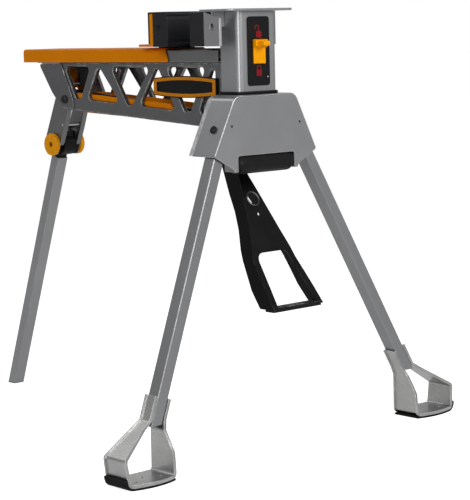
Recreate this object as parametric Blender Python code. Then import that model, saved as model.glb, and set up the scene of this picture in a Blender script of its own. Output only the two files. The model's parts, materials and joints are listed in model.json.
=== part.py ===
"""Portable clamping work stand: a folding three-legged stand whose jaw slides on a trussed beam.

Lengths are in metres. The beam runs along X, with the column and the pedal at its +X end.
Every place is measured from the middle of the column, at floor level. At the end the whole
stand is shifted along X, so that the world origin lies under the middle of its bounding box.
"""

import math

import bmesh
import bpy
from mathutils import Matrix, Vector

# Clearances
FIT = 0.0003
RUNNING = 0.0008
WELD_DISTANCE = 1e-6

# Sheet and tube walls
SHEET = 0.0025
TUBE_WALL = 0.0016
BEND = 0.004

# Column and the jaw that is fixed to it
COLUMN_HALF_X = 0.0305
COLUMN_HALF_Y = 0.053
COLUMN_CORNER = 0.012
TOP_Z = 0.875
TOP_PLATE = 0.005
TOP_PLATE_REAR = 0.045
TOP_PLATE_FRONT = 0.045
TOP_PLATE_CORNER = 0.012
COLLAR_HEIGHT = 0.006
COLLAR_WIDTH = 0.0045
JAW_HALF_Y = 0.089
JAW_BOTTOM_DROP = 0.073
WING_FRONT = 0.016
WING_FRONT_LEFT = -0.010
WING_LIP = 0.006
WING_TOP_FALL = 0.013
WING_HOLE_X = -0.0075
WING_HOLE_DROP = 0.035
WING_HOLE = (0.0055, 0.0075)
GUSSET_REACH = 0.024
GUSSET_DROP = 0.030
FIXED_PAD = 0.041
PAD_GROOVE = 0.003
PAD_GROOVE_EDGE = 0.010

# Sliding jaw and its rail
JAW_GAP = 0.068
MOVING_PAD = 0.046
MOVING_PAD_TOP_DROP = 0.002
JAW_SHEET = 0.0025
JAW_FLANGE = 0.0065
HOOD_SKIN = 0.003
HOOD_BACK = 0.0055
JAW_FOOT_REACH = 0.058
JAW_FOOT = 0.005
JAW_FOOT_HALF_Y = 0.074
RAIL_HALF_Y = 0.0565
RAIL_TOP_DROP = 0.076
RAIL_BOTTOM_DROP = 0.105
RAIL_FRONT = -0.182
RAIL_REAR = -0.685
RAIL_RAKE = 0.010
JAW_BOLT_RADIUS = 0.0065
JAW_BOLT_HEAD = 0.004

# Draw bar under the rail
BAR_HALF_Y = 0.020
BAR_HEIGHT = 0.008
BAR_TOP_DROP = 0.091
BAR_FRONT = -0.090
HANGER_HALF_Y = 0.006
HANGER_LENGTH = 0.016
JAW_CLOSE = 0.066

# Beam
BEAM_REAR = -0.640
BEAM_BOTTOM_DROP = 0.1065
BEAM_SLOT_HALF_Y = 0.0085
BEAM_FLANGE = 0.009
PLATE_HALF_Y = 0.046
PLATE_TOP_DROP = 0.107
PLATE_REAR_TOP_X = -0.641
PLATE_HEEL_DROP = (-0.593, 0.174)
PLATE_TOE_DROP = (-0.561, 0.207)
PLATE_KNEE_DROP = (-0.496, 0.211)
PLATE_FRONT_BOTTOM_DROP = 0.2395
WINDOW_TOP_DROP = 0.1155
WINDOW_RAIL = 0.0265
WINDOW_CORNER = 0.0075
WINDOW_ROUND = 0.0055
WINDOW_FLANGE = 0.0075
WINDOW_TOPS = ((-0.547, -0.459), (-0.384, -0.255), (-0.200, -0.080))
WINDOW_FEET = ((-0.510, -0.494), (-0.332, -0.317), (-0.145, -0.129))
RISING_APEXES = (-0.427, -0.232, -0.056)
RISING_FEET = ((-0.469, -0.358), (-0.290, -0.176), (-0.101, -0.050))
DOUBLER_FRONT_TOP = -0.5565
DOUBLER_FRONT_FOOT = -0.5165
CHANNEL_WALL = 0.0375
CHANNEL_FRONT = -0.190
CHANNEL_REAR = -0.588
CHANNEL_KNEE_DROP = 0.004
CHANNEL_FRONT_RISE = 0.001
END_WALL_TOP_DROP = (-0.633, 0.119)
END_WALL_FOOT_DROP = (-0.600, 0.164)
END_WALL_LEG_DROP = 0.1735
END_WALL_FLANGE = 0.014

# Name plate, left bare
BADGE_REAR = -0.236
BADGE_FRONT = -0.040
BADGE_BOTTOM_DROP = 0.178
BADGE_TOP_DROP = 0.133
BADGE_CROWN = 0.005
BADGE_RIM = 0.006
BADGE_BACK = 0.0015
BADGE_FACE = 0.0025

# Housing over the front legs
HOUSING_FRONT = 0.0503
HOUSING_SEAM = -0.0150
HOUSING_REAR = -0.0270
HOUSING_TOP_DROP = 0.17
HOUSING_TOP_HALF_Y = 0.083
HOUSING_SKIRT_DROP = 0.117
HOUSING_SKIRT_HALF_Y = 0.1415
HOUSING_CORNER = 0.020
APRON_DROP = 0.145
APRON_HALF_Y = 0.090
EAR_DROP = 0.1515
EAR_HALF_Y = 0.0765
EAR_DEPTH = 0.040
NOTCH_TOP_DROP = 0.1195
HOUSING_EDGE = 0.003
HOUSING_HOLE_Y = 0.0937
HOUSING_HOLE_DROP = 0.0592
HOUSING_HOLE = 0.0028
REAR_TIE_DROP = 0.115
REAR_SIDE = 0.0052
REAR_RIDGES = 3
REAR_RIDGE = 0.0011
REAR_WINDOW_TOP_DROP = 0.033

# Support roller
ROLLER_X = 0.033
ROLLER_DROP = 0.136
ROLLER_RADIUS = 0.0205
ROLLER_GROOVE = 0.0006
ROLLER_GROOVE_INSET = 0.014
ROLLER_END_ROUND = 0.0085
ROLLER_AXLE = 0.004

# Front legs
LEG_PIVOT_X = 0.0221
LEG_PIVOT_DROP = 0.074
LEG_SPLAY = 0.48
LEG_LEAN = 0.13
LEG_DEPTH = 0.030
LEG_WIDTH = 0.026
LEG_CORNER = 0.003
LEG_HEAD = 0.020
LEG_GAP = 0.003
LEG_END_Z = 0.101
LEG_BOLT = 0.005
LEG_BOLT_HEAD = 0.0078
LEG_BOLT_HEAD_HEIGHT = 0.0045

# Feet of the front legs
STRAP = 0.0035
FOOT_OUTER_TOP_Z = 0.148
FOOT_INNER_TOP_Z = 0.152
FOOT_SHOULDER_Z = 0.104
FOOT_ELBOW_OUT = 0.05419
FOOT_ELBOW_Z = 0.056
FOOT_OUTER = 0.04819
FOOT_INNER = -0.06131
FOOT_BACK = -0.02913
FOOT_AHEAD_ELBOW = 0.03387
FOOT_AHEAD = 0.03787
FOOT_BULGE = 0.010
FOOT_BEND = 0.008
FOOT_RIM = 0.003
FOOT_RIM_WIDTH = 0.0035
FOOT_HOLE = 0.0028
SOLE = 0.0042
SOLE_LIP_Z = 0.021

# Rear bracket and rear leg
HUB_X = -0.618
HUB_DROP = 0.1155
HUB_RADIUS = 0.025
HUB_TAIL = 0.033
BRACKET_HALF_Y = 0.0295
BRACKET_LEAN = 0.39
BRACKET_FRONT_GAP = 0.0245
BRACKET_DEPTH = 0.061
BRACKET_LIP = 0.012
BRACKET_TOP_DROP = 0.175
BRACKET_END_DROP = 0.14
BRACKET_WEB_DROP = 0.084
BRACKET_PIVOT_DROP = (-0.547, 0.187)
BRACKET_EAR = 0.013
BRACKET_BOLT = 0.004
BRACKET_BOLT_HEAD = 0.0092
BRACKET_BOLT_HEAD_HEIGHT = 0.005
CROSS_PIN_DROP = 0.071
CROSS_PIN_INSET = 0.008
CROSS_PIN = 0.0035
REAR_LEG_SLOPE = 0.376
REAR_LEG_X = -0.6265
REAR_LEG_WIDTH = 0.028
REAR_LEG_DEPTH = 0.0265
REAR_LEG_CAP = 0.018
REAR_LEG_CAP_WALL = 0.0012
PLUG_EASE = 0.0009
KNOB_RADIUS = 0.0245
KNOB_WIDTH = 0.010
KNOB_RECESS = 0.0065
KNOB_RECESS_DEPTH = 0.005
KNOB_LOBES = 12
KNOB_SHANK = 0.0085
HUB_AXLE = 0.005

# Pedal
PEDAL_PIVOT_X = -0.076
PEDAL_PIVOT_DROP = 0.0355
PEDAL_SECTIONS = (
    # depth below the pivot, half width, front face, rear edge
    (-0.012, 0.0125, -0.0600, -0.0920),
    (0.058, 0.0125, -0.0220, -0.0660),
    (0.097, 0.0230, -0.0005, -0.0400),
    (0.131, 0.0310, 0.0190, -0.0160),
    (0.166, 0.0400, 0.0380, 0.0040),
    (0.205, 0.0530, 0.0570, 0.0230),
    (0.225, 0.0580, 0.0660, 0.0340),
    (0.253, 0.0620, 0.0870, 0.0500),
    (0.282, 0.0655, 0.1090, 0.0660),
    (0.315, 0.0690, 0.1330, 0.0930),
)
PEDAL_SHEET = 0.003
PEDAL_WEB_END_DROP = 0.005
PEDAL_HOLE_DROP = 0.11
PEDAL_HOLE = (0.0060, 0.0085)
PEDAL_SMALL_HOLE_DROP = 0.137
TREAD_FRONT = 0.133
TREAD_DEPTH = 0.025
TREAD_BOTTOM_DROP = 0.005
TREAD_HEIGHT = 0.009
TREAD_RIBS = 5
TREAD_RIB = 0.0016
PEDAL_ARM = 0.060
PEDAL_ARM_HALF_X = 0.008
PEDAL_PIN = 0.004
PEDAL_LINK_PIN = 0.0025
PEDAL_BRACKET_SHEET = 0.003
PEDAL_BRACKET_REAR = -0.090
PEDAL_BRACKET_FOOT_DROP = 0.011
SPRING_COIL_RADIUS = 0.0075
SPRING_WIRE = 0.0011
SPRING_TURNS = 4
SPRING_PITCH = 0.0031
SPRING_POINTS = 9

# Drive and lock
DOG_SHEET = 0.006
DOG_HALF_Y = 0.025
DOG_TOP_DROP = 0.085
DRIVE_DOG_X = -0.590
DRIVE_DOG_FOOT_DROP = 0.175
LOCK_DOG_X = -0.540
LOCK_DOG_FOOT_DROP = 0.159
LOCK_PIVOT_DROP = 0.153
LOCK_ROD_GAP = 0.0012
LOCK_PIN = 0.0025
LOCK_WINDOW = 0.0015
ROD_RADIUS = 0.004
ROD_EYE = (0.018, 0.030)
ROD_EYE_THICK = 0.005
ROD_REAR_DROP = 0.169
LOCK_ROD_DROP = 0.115
LOCK_ROD_RADIUS = 0.0025

# Lock rocker and its bezel
BEZEL_HALF_Y = 0.0295
BEZEL_FOOT_GAP = 0.0107
BEZEL_TOP_GAP = 0.011
BEZEL_CORNER = 0.006
BEZEL_THICK = 0.0022
ROCKER_HALF_Y = 0.0162
ROCKER_BODY_HALF_Y = 0.013
ROCKER_LOWERED = 0.0005
ROCKER_HALF_Z = 0.024
ROCKER_STEP = 0.015
ROCKER_PROUD = 0.002
ROCKER_LIP = 0.009
ROCKER_NUB = 0.0235
ROCKER_NUB_HALF_Z = 0.005
ROCKER_NUB_HALF_Y = 0.009
ROCKER_GAP = 0.0012
ROCKER_TAIL = 0.010
ROCKER_ARM = 0.026

# Facets
ARC = 3
ROUND = 16

COLOURS = {
    "silver_paint": ((0.34, 0.35, 0.36, 1.0), 0.38, 0.75),
    "orange_paint": ((0.86, 0.36, 0.01, 1.0), 0.35, 0.0),
    "black_plastic": ((0.012, 0.012, 0.013, 1.0), 0.45, 0.0),
    "black_paint": ((0.016, 0.016, 0.018, 1.0), 0.38, 0.1),
    "black_rubber": ((0.014, 0.014, 0.014, 1.0), 0.75, 0.0),
    "orange_plastic": ((0.88, 0.38, 0.01, 1.0), 0.4, 0.0),
    "steel": ((0.45, 0.45, 0.46, 1.0), 0.35, 1.0),
}

# Places that several pieces share
JAW_BOTTOM_Z = TOP_Z - JAW_BOTTOM_DROP
WING_HOLE_Z = TOP_Z - WING_HOLE_DROP
MOVING_PAD_TOP = TOP_Z - MOVING_PAD_TOP_DROP
RAIL_TOP_Z = TOP_Z - RAIL_TOP_DROP
RAIL_BOTTOM_Z = TOP_Z - RAIL_BOTTOM_DROP
BAR_TOP_Z = TOP_Z - BAR_TOP_DROP
BEAM_BOTTOM_Z = TOP_Z - BEAM_BOTTOM_DROP
PLATE_TOP_Z = TOP_Z - PLATE_TOP_DROP
PLATE_HEEL = (PLATE_HEEL_DROP[0], TOP_Z - PLATE_HEEL_DROP[1])
PLATE_TOE = (PLATE_TOE_DROP[0], TOP_Z - PLATE_TOE_DROP[1])
PLATE_KNEE = (PLATE_KNEE_DROP[0], TOP_Z - PLATE_KNEE_DROP[1])
PLATE_FRONT_BOTTOM_Z = TOP_Z - PLATE_FRONT_BOTTOM_DROP
WINDOW_TOP_Z = TOP_Z - WINDOW_TOP_DROP
END_WALL_TOP = (END_WALL_TOP_DROP[0], TOP_Z - END_WALL_TOP_DROP[1])
END_WALL_FOOT = (END_WALL_FOOT_DROP[0], TOP_Z - END_WALL_FOOT_DROP[1])
END_WALL_LEG_Z = TOP_Z - END_WALL_LEG_DROP
BADGE_BOTTOM_Z = TOP_Z - BADGE_BOTTOM_DROP
BADGE_TOP_Z = TOP_Z - BADGE_TOP_DROP
HOUSING_TOP_Z = TOP_Z - HOUSING_TOP_DROP
BRACKET_TOP_Z = TOP_Z - BRACKET_TOP_DROP
BRACKET_PIVOT = (BRACKET_PIVOT_DROP[0], TOP_Z - BRACKET_PIVOT_DROP[1])
DOG_TOP_Z = TOP_Z - DOG_TOP_DROP
DRIVE_DOG_FOOT_Z = TOP_Z - DRIVE_DOG_FOOT_DROP
LOCK_DOG_FOOT_Z = TOP_Z - LOCK_DOG_FOOT_DROP
LOCK_PIVOT_Z = TOP_Z - LOCK_PIVOT_DROP
ROD_REAR_Z = TOP_Z - ROD_REAR_DROP
LOCK_ROD_Z = TOP_Z - LOCK_ROD_DROP
HOUSING_SKIRT_Z = HOUSING_TOP_Z - HOUSING_SKIRT_DROP
APRON_Z = HOUSING_TOP_Z - APRON_DROP
EAR_Z = HOUSING_TOP_Z - EAR_DROP
NOTCH_TOP_Z = HOUSING_TOP_Z - NOTCH_TOP_DROP
HOUSING_HOLE_Z = HOUSING_TOP_Z - HOUSING_HOLE_DROP
REAR_TIE_Z = HOUSING_TOP_Z - REAR_TIE_DROP
REAR_WINDOW_TOP_Z = HOUSING_TOP_Z - REAR_WINDOW_TOP_DROP
ROLLER_Z = HOUSING_TOP_Z - ROLLER_DROP
LEG_PIVOT_Z = HOUSING_TOP_Z - LEG_PIVOT_DROP
HUB_Z = BRACKET_TOP_Z - HUB_DROP
BRACKET_END_Z = BRACKET_TOP_Z - BRACKET_END_DROP
BRACKET_WEB_Z = BRACKET_TOP_Z - BRACKET_WEB_DROP
CROSS_PIN_Z = BRACKET_TOP_Z - CROSS_PIN_DROP
PEDAL_PIVOT_Z = PLATE_FRONT_BOTTOM_Z - PEDAL_PIVOT_DROP
PEDAL_HOLE_Z = PEDAL_PIVOT_Z - PEDAL_HOLE_DROP
PEDAL_SMALL_HOLE_Z = PEDAL_PIVOT_Z - PEDAL_SMALL_HOLE_DROP
PEDAL_BRACKET_FOOT_Z = PEDAL_PIVOT_Z - PEDAL_BRACKET_FOOT_DROP
PEDAL_STATIONS = [(PEDAL_PIVOT_Z - drop, half, front, rear) for drop, half, front, rear in PEDAL_SECTIONS]
PEDAL_WEB_END = PEDAL_STATIONS[5][0] - PEDAL_WEB_END_DROP
TREAD_BOTTOM_Z = PEDAL_STATIONS[-1][0] - TREAD_BOTTOM_DROP
TOP_PLATE_Z = TOP_Z - TOP_PLATE
COLUMN_TOP_Z = TOP_PLATE_Z - FIT
SHELF_Z = NOTCH_TOP_Z + 0.0325
COLUMN_FOOT_Z = SHELF_Z + FIT
JAW_BACK = -COLUMN_HALF_X - FIT - JAW_SHEET
FIXED_PAD_BACK = JAW_BACK - FIT
FIXED_FACE = FIXED_PAD_BACK - FIXED_PAD
MOVING_FACE = FIXED_FACE - JAW_GAP
MOVING_PAD_BACK = MOVING_FACE - MOVING_PAD
MOVING_JAW_FRONT = MOVING_PAD_BACK - FIT
MOVING_JAW_BACK = MOVING_JAW_FRONT - JAW_SHEET
JAW_FOOT_Z = JAW_BOTTOM_Z + FIT
BEAM_FRONT = -COLUMN_HALF_X - FIT
BEAM_HALF_Y = RAIL_HALF_Y - SHEET - RUNNING
BEAM_TOP_Z = RAIL_TOP_Z - SHEET - FIT
HANGER_FRONT = RAIL_FRONT - RAIL_RAKE - 0.004
SLOT_FRONT = HANGER_FRONT + JAW_CLOSE + 0.004
BAR_BOTTOM_Z = BAR_TOP_Z - BAR_HEIGHT
BAR_REAR = RAIL_REAR + 0.004
TRUSS_FRONT = -COLUMN_HALF_X - FIT
PLATE_INNER_Y = PLATE_HALF_Y - SHEET
CHANNEL_HALF_Y = PLATE_INNER_Y - WINDOW_FLANGE - FIT
COLLAR_Z = HOUSING_TOP_Z + FIT
BEZEL_BOTTOM_Z = COLLAR_Z + COLLAR_HEIGHT + BEZEL_FOOT_GAP
BEZEL_TOP_Z = TOP_PLATE_Z - BEZEL_TOP_GAP
ROCKER_MIDDLE_Z = (BEZEL_BOTTOM_Z + BEZEL_TOP_Z) / 2 - ROCKER_LOWERED
ROCKER_BOTTOM_Z = ROCKER_MIDDLE_Z - ROCKER_HALF_Z
ROCKER_TOP_Z = ROCKER_MIDDLE_Z + ROCKER_HALF_Z
ROCKER_STEP_Z = ROCKER_TOP_Z - ROCKER_STEP
BADGE_BACK_FRONT = -COLUMN_HALF_X - COLLAR_WIDTH - 4 * FIT
SIDE_SLOPE = (HOUSING_SKIRT_HALF_Y - HOUSING_TOP_HALF_Y) / (HOUSING_TOP_Z - HOUSING_SKIRT_Z)
HOUSING_SIDE_Y = HOUSING_TOP_HALF_Y + SIDE_SLOPE * (HOUSING_TOP_Z - LEG_PIVOT_Z)
LEG_DIRECTION = Vector((LEG_LEAN, LEG_SPLAY, -1.0)).normalized()
LEG_NORMAL = Vector((0.0, 1.0, LEG_SPLAY)).normalized()
LEG_FORWARD = LEG_NORMAL.cross(LEG_DIRECTION).normalized()
SIDE_COSINE = 1 / math.hypot(1, SIDE_SLOPE)
LEG_FACE = (HOUSING_SIDE_Y * SIDE_COSINE - SHEET - LEG_GAP) / SIDE_COSINE
LEG_PIVOT = Vector((LEG_PIVOT_X, LEG_FACE - LEG_WIDTH / 2 / LEG_NORMAL.y, LEG_PIVOT_Z))
HUB_HALF_Y = BRACKET_HALF_Y - BRACKET_LIP - 2 * FIT
REAR_LEG_DIRECTION = Vector((-REAR_LEG_SLOPE, 0.0, -1.0)).normalized()
HUB = Vector((HUB_X, 0.0, HUB_Z))
PEDAL_PIVOT = Vector((PEDAL_PIVOT_X, 0.0, PEDAL_PIVOT_Z))
ROCKER_X = COLUMN_HALF_X + FIT + BEZEL_THICK + 0.001
ROCKER_PIVOT = Vector((ROCKER_X, 0.0, (ROCKER_BOTTOM_Z + ROCKER_STEP_Z) / 2))
ROD_FRONT_Z = PEDAL_PIVOT_Z + PEDAL_ARM
FOOT_PLATE_Z = SOLE + FIT + FOOT_RIM
LEG_FOOT = LEG_PIVOT + LEG_DIRECTION * (LEG_PIVOT.z / -LEG_DIRECTION.z)
FOOT_ELBOW = (LEG_FOOT.y + FOOT_ELBOW_OUT, FOOT_ELBOW_Z)
FOOT_OUTER_CORNER = (LEG_FOOT.y + FOOT_OUTER, FOOT_PLATE_Z)
FOOT_INNER_CORNER = (LEG_FOOT.y + FOOT_INNER, FOOT_PLATE_Z)
FOOT_REAR = LEG_FOOT.x + FOOT_BACK
FOOT_FRONT_ELBOW = LEG_FOOT.x + FOOT_AHEAD_ELBOW
FOOT_FRONT = LEG_FOOT.x + FOOT_AHEAD
REACH_FRONT = FOOT_FRONT + FOOT_BULGE
REAR_LEG_FOOT_X = REAR_LEG_X - REAR_LEG_SLOPE * HUB_Z
REACH_REAR = REAR_LEG_FOOT_X - REAR_LEG_DEPTH / 2 * math.hypot(1, REAR_LEG_SLOPE)
CENTRE = (REACH_FRONT + REACH_REAR) / 2

holders = {}


def clear_scene():
    for old in list(bpy.data.objects):
        bpy.data.objects.remove(old, do_unlink=True)


def material(name):
    found = bpy.data.materials.get(name)
    if found:
        return found
    colour, roughness, metallic = COLOURS[name]
    made = bpy.data.materials.new(name)
    made.use_nodes = True
    shader = made.node_tree.nodes["Principled BSDF"]
    shader.inputs["Base Color"].default_value = colour
    shader.inputs["Roughness"].default_value = roughness
    shader.inputs["Metallic"].default_value = metallic
    made.diffuse_color = colour
    return made


def add_holder(name, place=(0.0, 0.0, 0.0)):
    """An empty on a joint's axis, which carries the pieces that turn or slide there."""
    empty = bpy.data.objects.new(name, None)
    empty.empty_display_size = 0.03
    empty.location = Vector(place) - Vector((CENTRE, 0.0, 0.0))
    bpy.context.scene.collection.objects.link(empty)
    holders[name] = (empty, Vector(place))


def finish(name, bm, colour, holder="stand", smooth=False):
    """Turns a mesh drawn in the column's frame into a named piece on its holder."""
    bmesh.ops.remove_doubles(bm, verts=bm.verts, dist=WELD_DISTANCE)
    bmesh.ops.recalc_face_normals(bm, faces=bm.faces)
    empty, place = holders[holder]
    bmesh.ops.translate(bm, verts=bm.verts, vec=-place)
    mesh = bpy.data.meshes.new(name)
    bm.to_mesh(mesh)
    bm.free()
    if smooth:
        mesh.shade_smooth()
        mesh.set_sharp_from_angle(angle=math.radians(35))
    piece = bpy.data.objects.new(name, mesh)
    piece.data.materials.append(material(colour))
    bpy.context.scene.collection.objects.link(piece)
    piece.parent = empty
    return piece


def cut(piece, cutter, operation="DIFFERENCE"):
    """Cuts with, or joins, a helper that stays in the file as a wire outline."""
    cutter.hide_render = True
    cutter.display_type = "WIRE"
    change = piece.modifiers.new(cutter.name, "BOOLEAN")
    change.operation = operation
    change.solver = "EXACT"
    change.object = cutter
    return piece


def soften(piece, width, segments=2, angle=40):
    edge = piece.modifiers.new("edges", "BEVEL")
    edge.width = width
    edge.segments = segments
    edge.limit_method = "ANGLE"
    edge.angle_limit = math.radians(angle)
    return piece


def filleted(points, radii, steps=ARC):
    """A closed outline with its corners rounded. One radius serves all, or there is one for each corner."""
    count = len(points)
    if isinstance(radii, (int, float)):
        radii = [radii] * count
    outline = []
    for index, radius in enumerate(radii):
        before = Vector(points[index - 1])
        corner = Vector(points[index])
        after = Vector(points[(index + 1) % count])
        outline += corner_arc(before, corner, after, radius, steps)
    return outline


def filleted_path(points, radius, steps=ARC):
    """An open path with its bends rounded."""
    ends = [Vector(point) for point in points]
    path = [ends[0]]
    for before, corner, after in zip(ends, ends[1:], ends[2:]):
        path += corner_arc(before, corner, after, radius, steps)
    return path + [ends[-1]]


def corner_arc(before, corner, after, radius, steps):
    first = (before - corner).normalized()
    second = (after - corner).normalized()
    half = first.angle(second) / 2
    if radius <= 0 or half > math.radians(89):
        return [corner]
    reach = radius / math.tan(half)
    centre = corner + (first + second).normalized() * (radius / math.sin(half))
    start = corner + first * reach - centre
    end = corner + second * reach - centre
    sweep = start.angle_signed(end)
    turned = []
    for step in range(steps + 1):
        angle = -sweep * step / steps
        cosine, sine = math.cos(angle), math.sin(angle)
        turned.append(centre + Vector((start.x * cosine - start.y * sine, start.x * sine + start.y * cosine)))
    return turned


def offset_path(path, distance):
    """An open path moved sideways, to its left, with its corners mitred."""
    points = [Vector(point) for point in path]
    moved = []
    for index, point in enumerate(points):
        before = points[max(index - 1, 0)]
        after = points[min(index + 1, len(points) - 1)]
        arriving = (point - before).normalized() if index else (after - point).normalized()
        leaving = (after - point).normalized() if index < len(points) - 1 else arriving
        left = Vector((-arriving.y, arriving.x))
        middle = (left + Vector((-leaving.y, leaving.x))).normalized()
        moved.append(point + middle * (distance / max(middle.dot(left), 0.2)))
    return moved


def strip(path, thickness):
    """The closed outline of a bent sheet, from the path of one of its faces."""
    return [Vector(point) for point in path] + offset_path(path, thickness)[::-1]


def offset_outline(outline, distance):
    """A closed outline, counter-clockwise, moved outwards."""
    count = len(outline)
    moved = []
    for index in range(count):
        point = Vector(outline[index])
        arriving = (point - Vector(outline[index - 1])).normalized()
        leaving = (Vector(outline[(index + 1) % count]) - point).normalized()
        right = Vector((arriving.y, -arriving.x))
        middle = (right + Vector((leaving.y, -leaving.x))).normalized()
        moved.append(point + middle * (distance / max(middle.dot(right), 0.2)))
    return moved


def turned_ccw(outline):
    area = sum(a[0] * b[1] - b[0] * a[1] for a, b in zip(outline, list(outline[1:]) + [outline[0]]))
    return list(outline) if area > 0 else list(outline)[::-1]


PLANES = {
    "X": lambda point, along: Vector((along, point[0], point[1])),
    "Y": lambda point, along: Vector((point[0], along, point[1])),
    "Z": lambda point, along: Vector((point[0], point[1], along)),
}


def add_prism(bm, outline, axis, low, high, holes=()):
    """Adds an outline, with its holes, extruded along an axis."""
    loops = [list(outline)] + [list(hole) for hole in holes]
    edges = []
    verts = []
    for loop in loops:
        ring = [bm.verts.new(PLANES[axis](point, low)) for point in loop]
        edges += [bm.edges.new((ring[index - 1], ring[index])) for index in range(len(ring))]
        verts += ring
    if holes:
        filled = bmesh.ops.triangle_fill(bm, edges=edges, use_beauty=True)
        faces = [item for item in filled["geom"] if isinstance(item, bmesh.types.BMFace)]
    else:
        faces = [bm.faces.new(verts)]
    grown = bmesh.ops.extrude_face_region(bm, geom=faces, use_keep_orig=True)
    moved = [item for item in grown["geom"] if isinstance(item, bmesh.types.BMVert)]
    bmesh.ops.translate(bm, verts=moved, vec=PLANES[axis]((0.0, 0.0), high - low))
    return moved


def prism(name, outline, axis, low, high, colour, holder="stand", holes=(), smooth=False):
    bm = bmesh.new()
    add_prism(bm, outline, axis, low, high, holes)
    return finish(name, bm, colour, holder, smooth)


def circle(centre, radius, count=ROUND, stretch=1.0):
    points = []
    for index in range(count):
        angle = 2 * math.pi * (index + 0.5) / count
        across = radius * math.cos(angle)
        along = radius * stretch * math.sin(angle)
        points.append(Vector((centre[0] + across, centre[1] + along)))
    return points


def rectangle(low, high):
    corners = ((low[0], low[1]), (high[0], low[1]), (high[0], high[1]), (low[0], high[1]))
    return [Vector(corner) for corner in corners]


def add_turned(bm, profile, centre, axis, count=ROUND):
    """Adds a profile of (distance along the axis, radius) spun about the axis through the centre."""
    direction = Vector(axis).normalized()
    side = direction.orthogonal().normalized()
    ring = [bm.verts.new(Vector(centre) + direction * along + side * radius) for along, radius in profile]
    edges = [bm.edges.new(pair) for pair in zip(ring, ring[1:])]
    bmesh.ops.spin(
        bm,
        geom=ring + edges,
        cent=Vector(centre),
        axis=direction,
        angle=2 * math.pi,
        steps=count,
        use_merge=True,
        use_duplicate=False,
    )
    bmesh.ops.remove_doubles(bm, verts=bm.verts, dist=WELD_DISTANCE)


def turned(name, profile, centre, axis, colour, holder="stand", count=ROUND):
    bm = bmesh.new()
    add_turned(bm, profile, centre, axis, count)
    return finish(name, bm, colour, holder, smooth=True)


def drill(piece, centre, axis, radius, length, holder="stand", count=ROUND):
    """A round hole, by a cutter that is centred on the wall."""
    half = length / 2
    profile = [(-half, 0.0), (-half, radius), (half, radius), (half, 0.0)]
    label = f"{piece.name}_hole_{len(piece.modifiers)}"
    return cut(piece, turned(label, profile, centre, axis, "steel", holder, count))


def bolt_profile(length, shank, head, head_height):
    """A bolt with a low domed head at each end, drawn from the middle of its shank."""
    half = length / 2
    dome = head * 0.72
    top = half + head_height
    side = [(half, shank), (half, head), (half + head_height * 0.55, head), (top, dome), (top, 0.0)]
    return [(-along, radius) for along, radius in reversed(side)] + side


# Beam


def plate_bottom(x):
    """Height of the truss plates' lower edge."""
    knee_x, knee_z = PLATE_KNEE
    share = (x - knee_x) / (TRUSS_FRONT - knee_x)
    return knee_z + share * (PLATE_FRONT_BOTTOM_Z - knee_z)


def truss_outline():
    corners = [
        (PLATE_REAR_TOP_X, PLATE_TOP_Z),
        PLATE_HEEL,
        PLATE_TOE,
        PLATE_KNEE,
        (TRUSS_FRONT, plate_bottom(TRUSS_FRONT)),
        (TRUSS_FRONT, PLATE_TOP_Z),
    ]
    return turned_ccw(filleted(corners, [0.006, 0.014, 0.018, 0.02, 0.001, 0.001]))


def truss_windows():
    """Falling and rising triangles by turns, with rounded corners."""
    windows = []
    for (rear, front), (foot_rear, foot_front) in zip(WINDOW_TOPS, WINDOW_FEET):
        middle = (foot_rear + foot_front) / 2
        foot = plate_bottom(middle) + WINDOW_RAIL
        corners = [(rear, WINDOW_TOP_Z), (foot_rear, foot), (foot_front, foot), (front, WINDOW_TOP_Z)]
        windows.append(filleted(corners, [WINDOW_CORNER, 0.005, 0.005, WINDOW_CORNER]))
    for apex, (foot_rear, foot_front) in zip(RISING_APEXES, RISING_FEET):
        rear = (foot_rear, plate_bottom(foot_rear) + WINDOW_RAIL)
        front = (foot_front, plate_bottom(foot_front) + WINDOW_RAIL)
        crown = WINDOW_TOP_Z - 0.006
        corners = [(apex - 0.005, crown), rear, front, (apex + 0.005, crown)]
        windows.append(filleted(corners, [0.0045, WINDOW_CORNER, WINDOW_CORNER, 0.0045]))
    return [turned_ccw(window) for window in windows]


def add_loop(bm, outline, along):
    return [bm.verts.new(PLANES["Y"](point, along)) for point in outline]


def join_loops(bm, first, second):
    for index in range(len(first)):
        bm.faces.new((first[index - 1], first[index], second[index], second[index - 1]))


def cap_loops(bm, loops):
    edges = []
    for loop in loops:
        for index in range(len(loop)):
            ends = (loop[index - 1], loop[index])
            edges.append(bm.edges.get(ends) or bm.edges.new(ends))
    bmesh.ops.triangle_fill(bm, edges=edges, use_beauty=True)


def truss_plate(side):
    """A pressed side plate. Each window's edge rolls inwards into a flange, which stiffens the struts."""
    bm = bmesh.new()
    outer = PLATE_HALF_Y * side
    inner = PLATE_INNER_Y * side
    outline = truss_outline()
    outside = [add_loop(bm, outline, outer)]
    inside = [add_loop(bm, outline, inner)]
    join_loops(bm, outside[0], inside[0])
    for window in truss_windows():
        wide = offset_outline(window, WINDOW_ROUND)
        shoulder = offset_outline(window, WINDOW_ROUND * 0.3)
        back = offset_outline(window, TUBE_WALL)
        loops = [
            add_loop(bm, wide, outer),
            add_loop(bm, shoulder, outer - side * WINDOW_ROUND * 0.3),
            add_loop(bm, window, outer - side * WINDOW_ROUND),
            add_loop(bm, window, inner - side * WINDOW_FLANGE),
            add_loop(bm, back, inner - side * WINDOW_FLANGE),
            add_loop(bm, back, inner - side * WINDOW_ROUND * 0.6),
            add_loop(bm, wide, inner),
        ]
        for first, second in zip(loops, loops[1:]):
            join_loops(bm, first, second)
        outside.append(loops[0])
        inside.append(loops[-1])
    cap_loops(bm, outside)
    cap_loops(bm, inside)
    word = "left" if side > 0 else "right"
    return finish(f"beam_side_plate_{word}", bm, "silver_paint")


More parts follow.
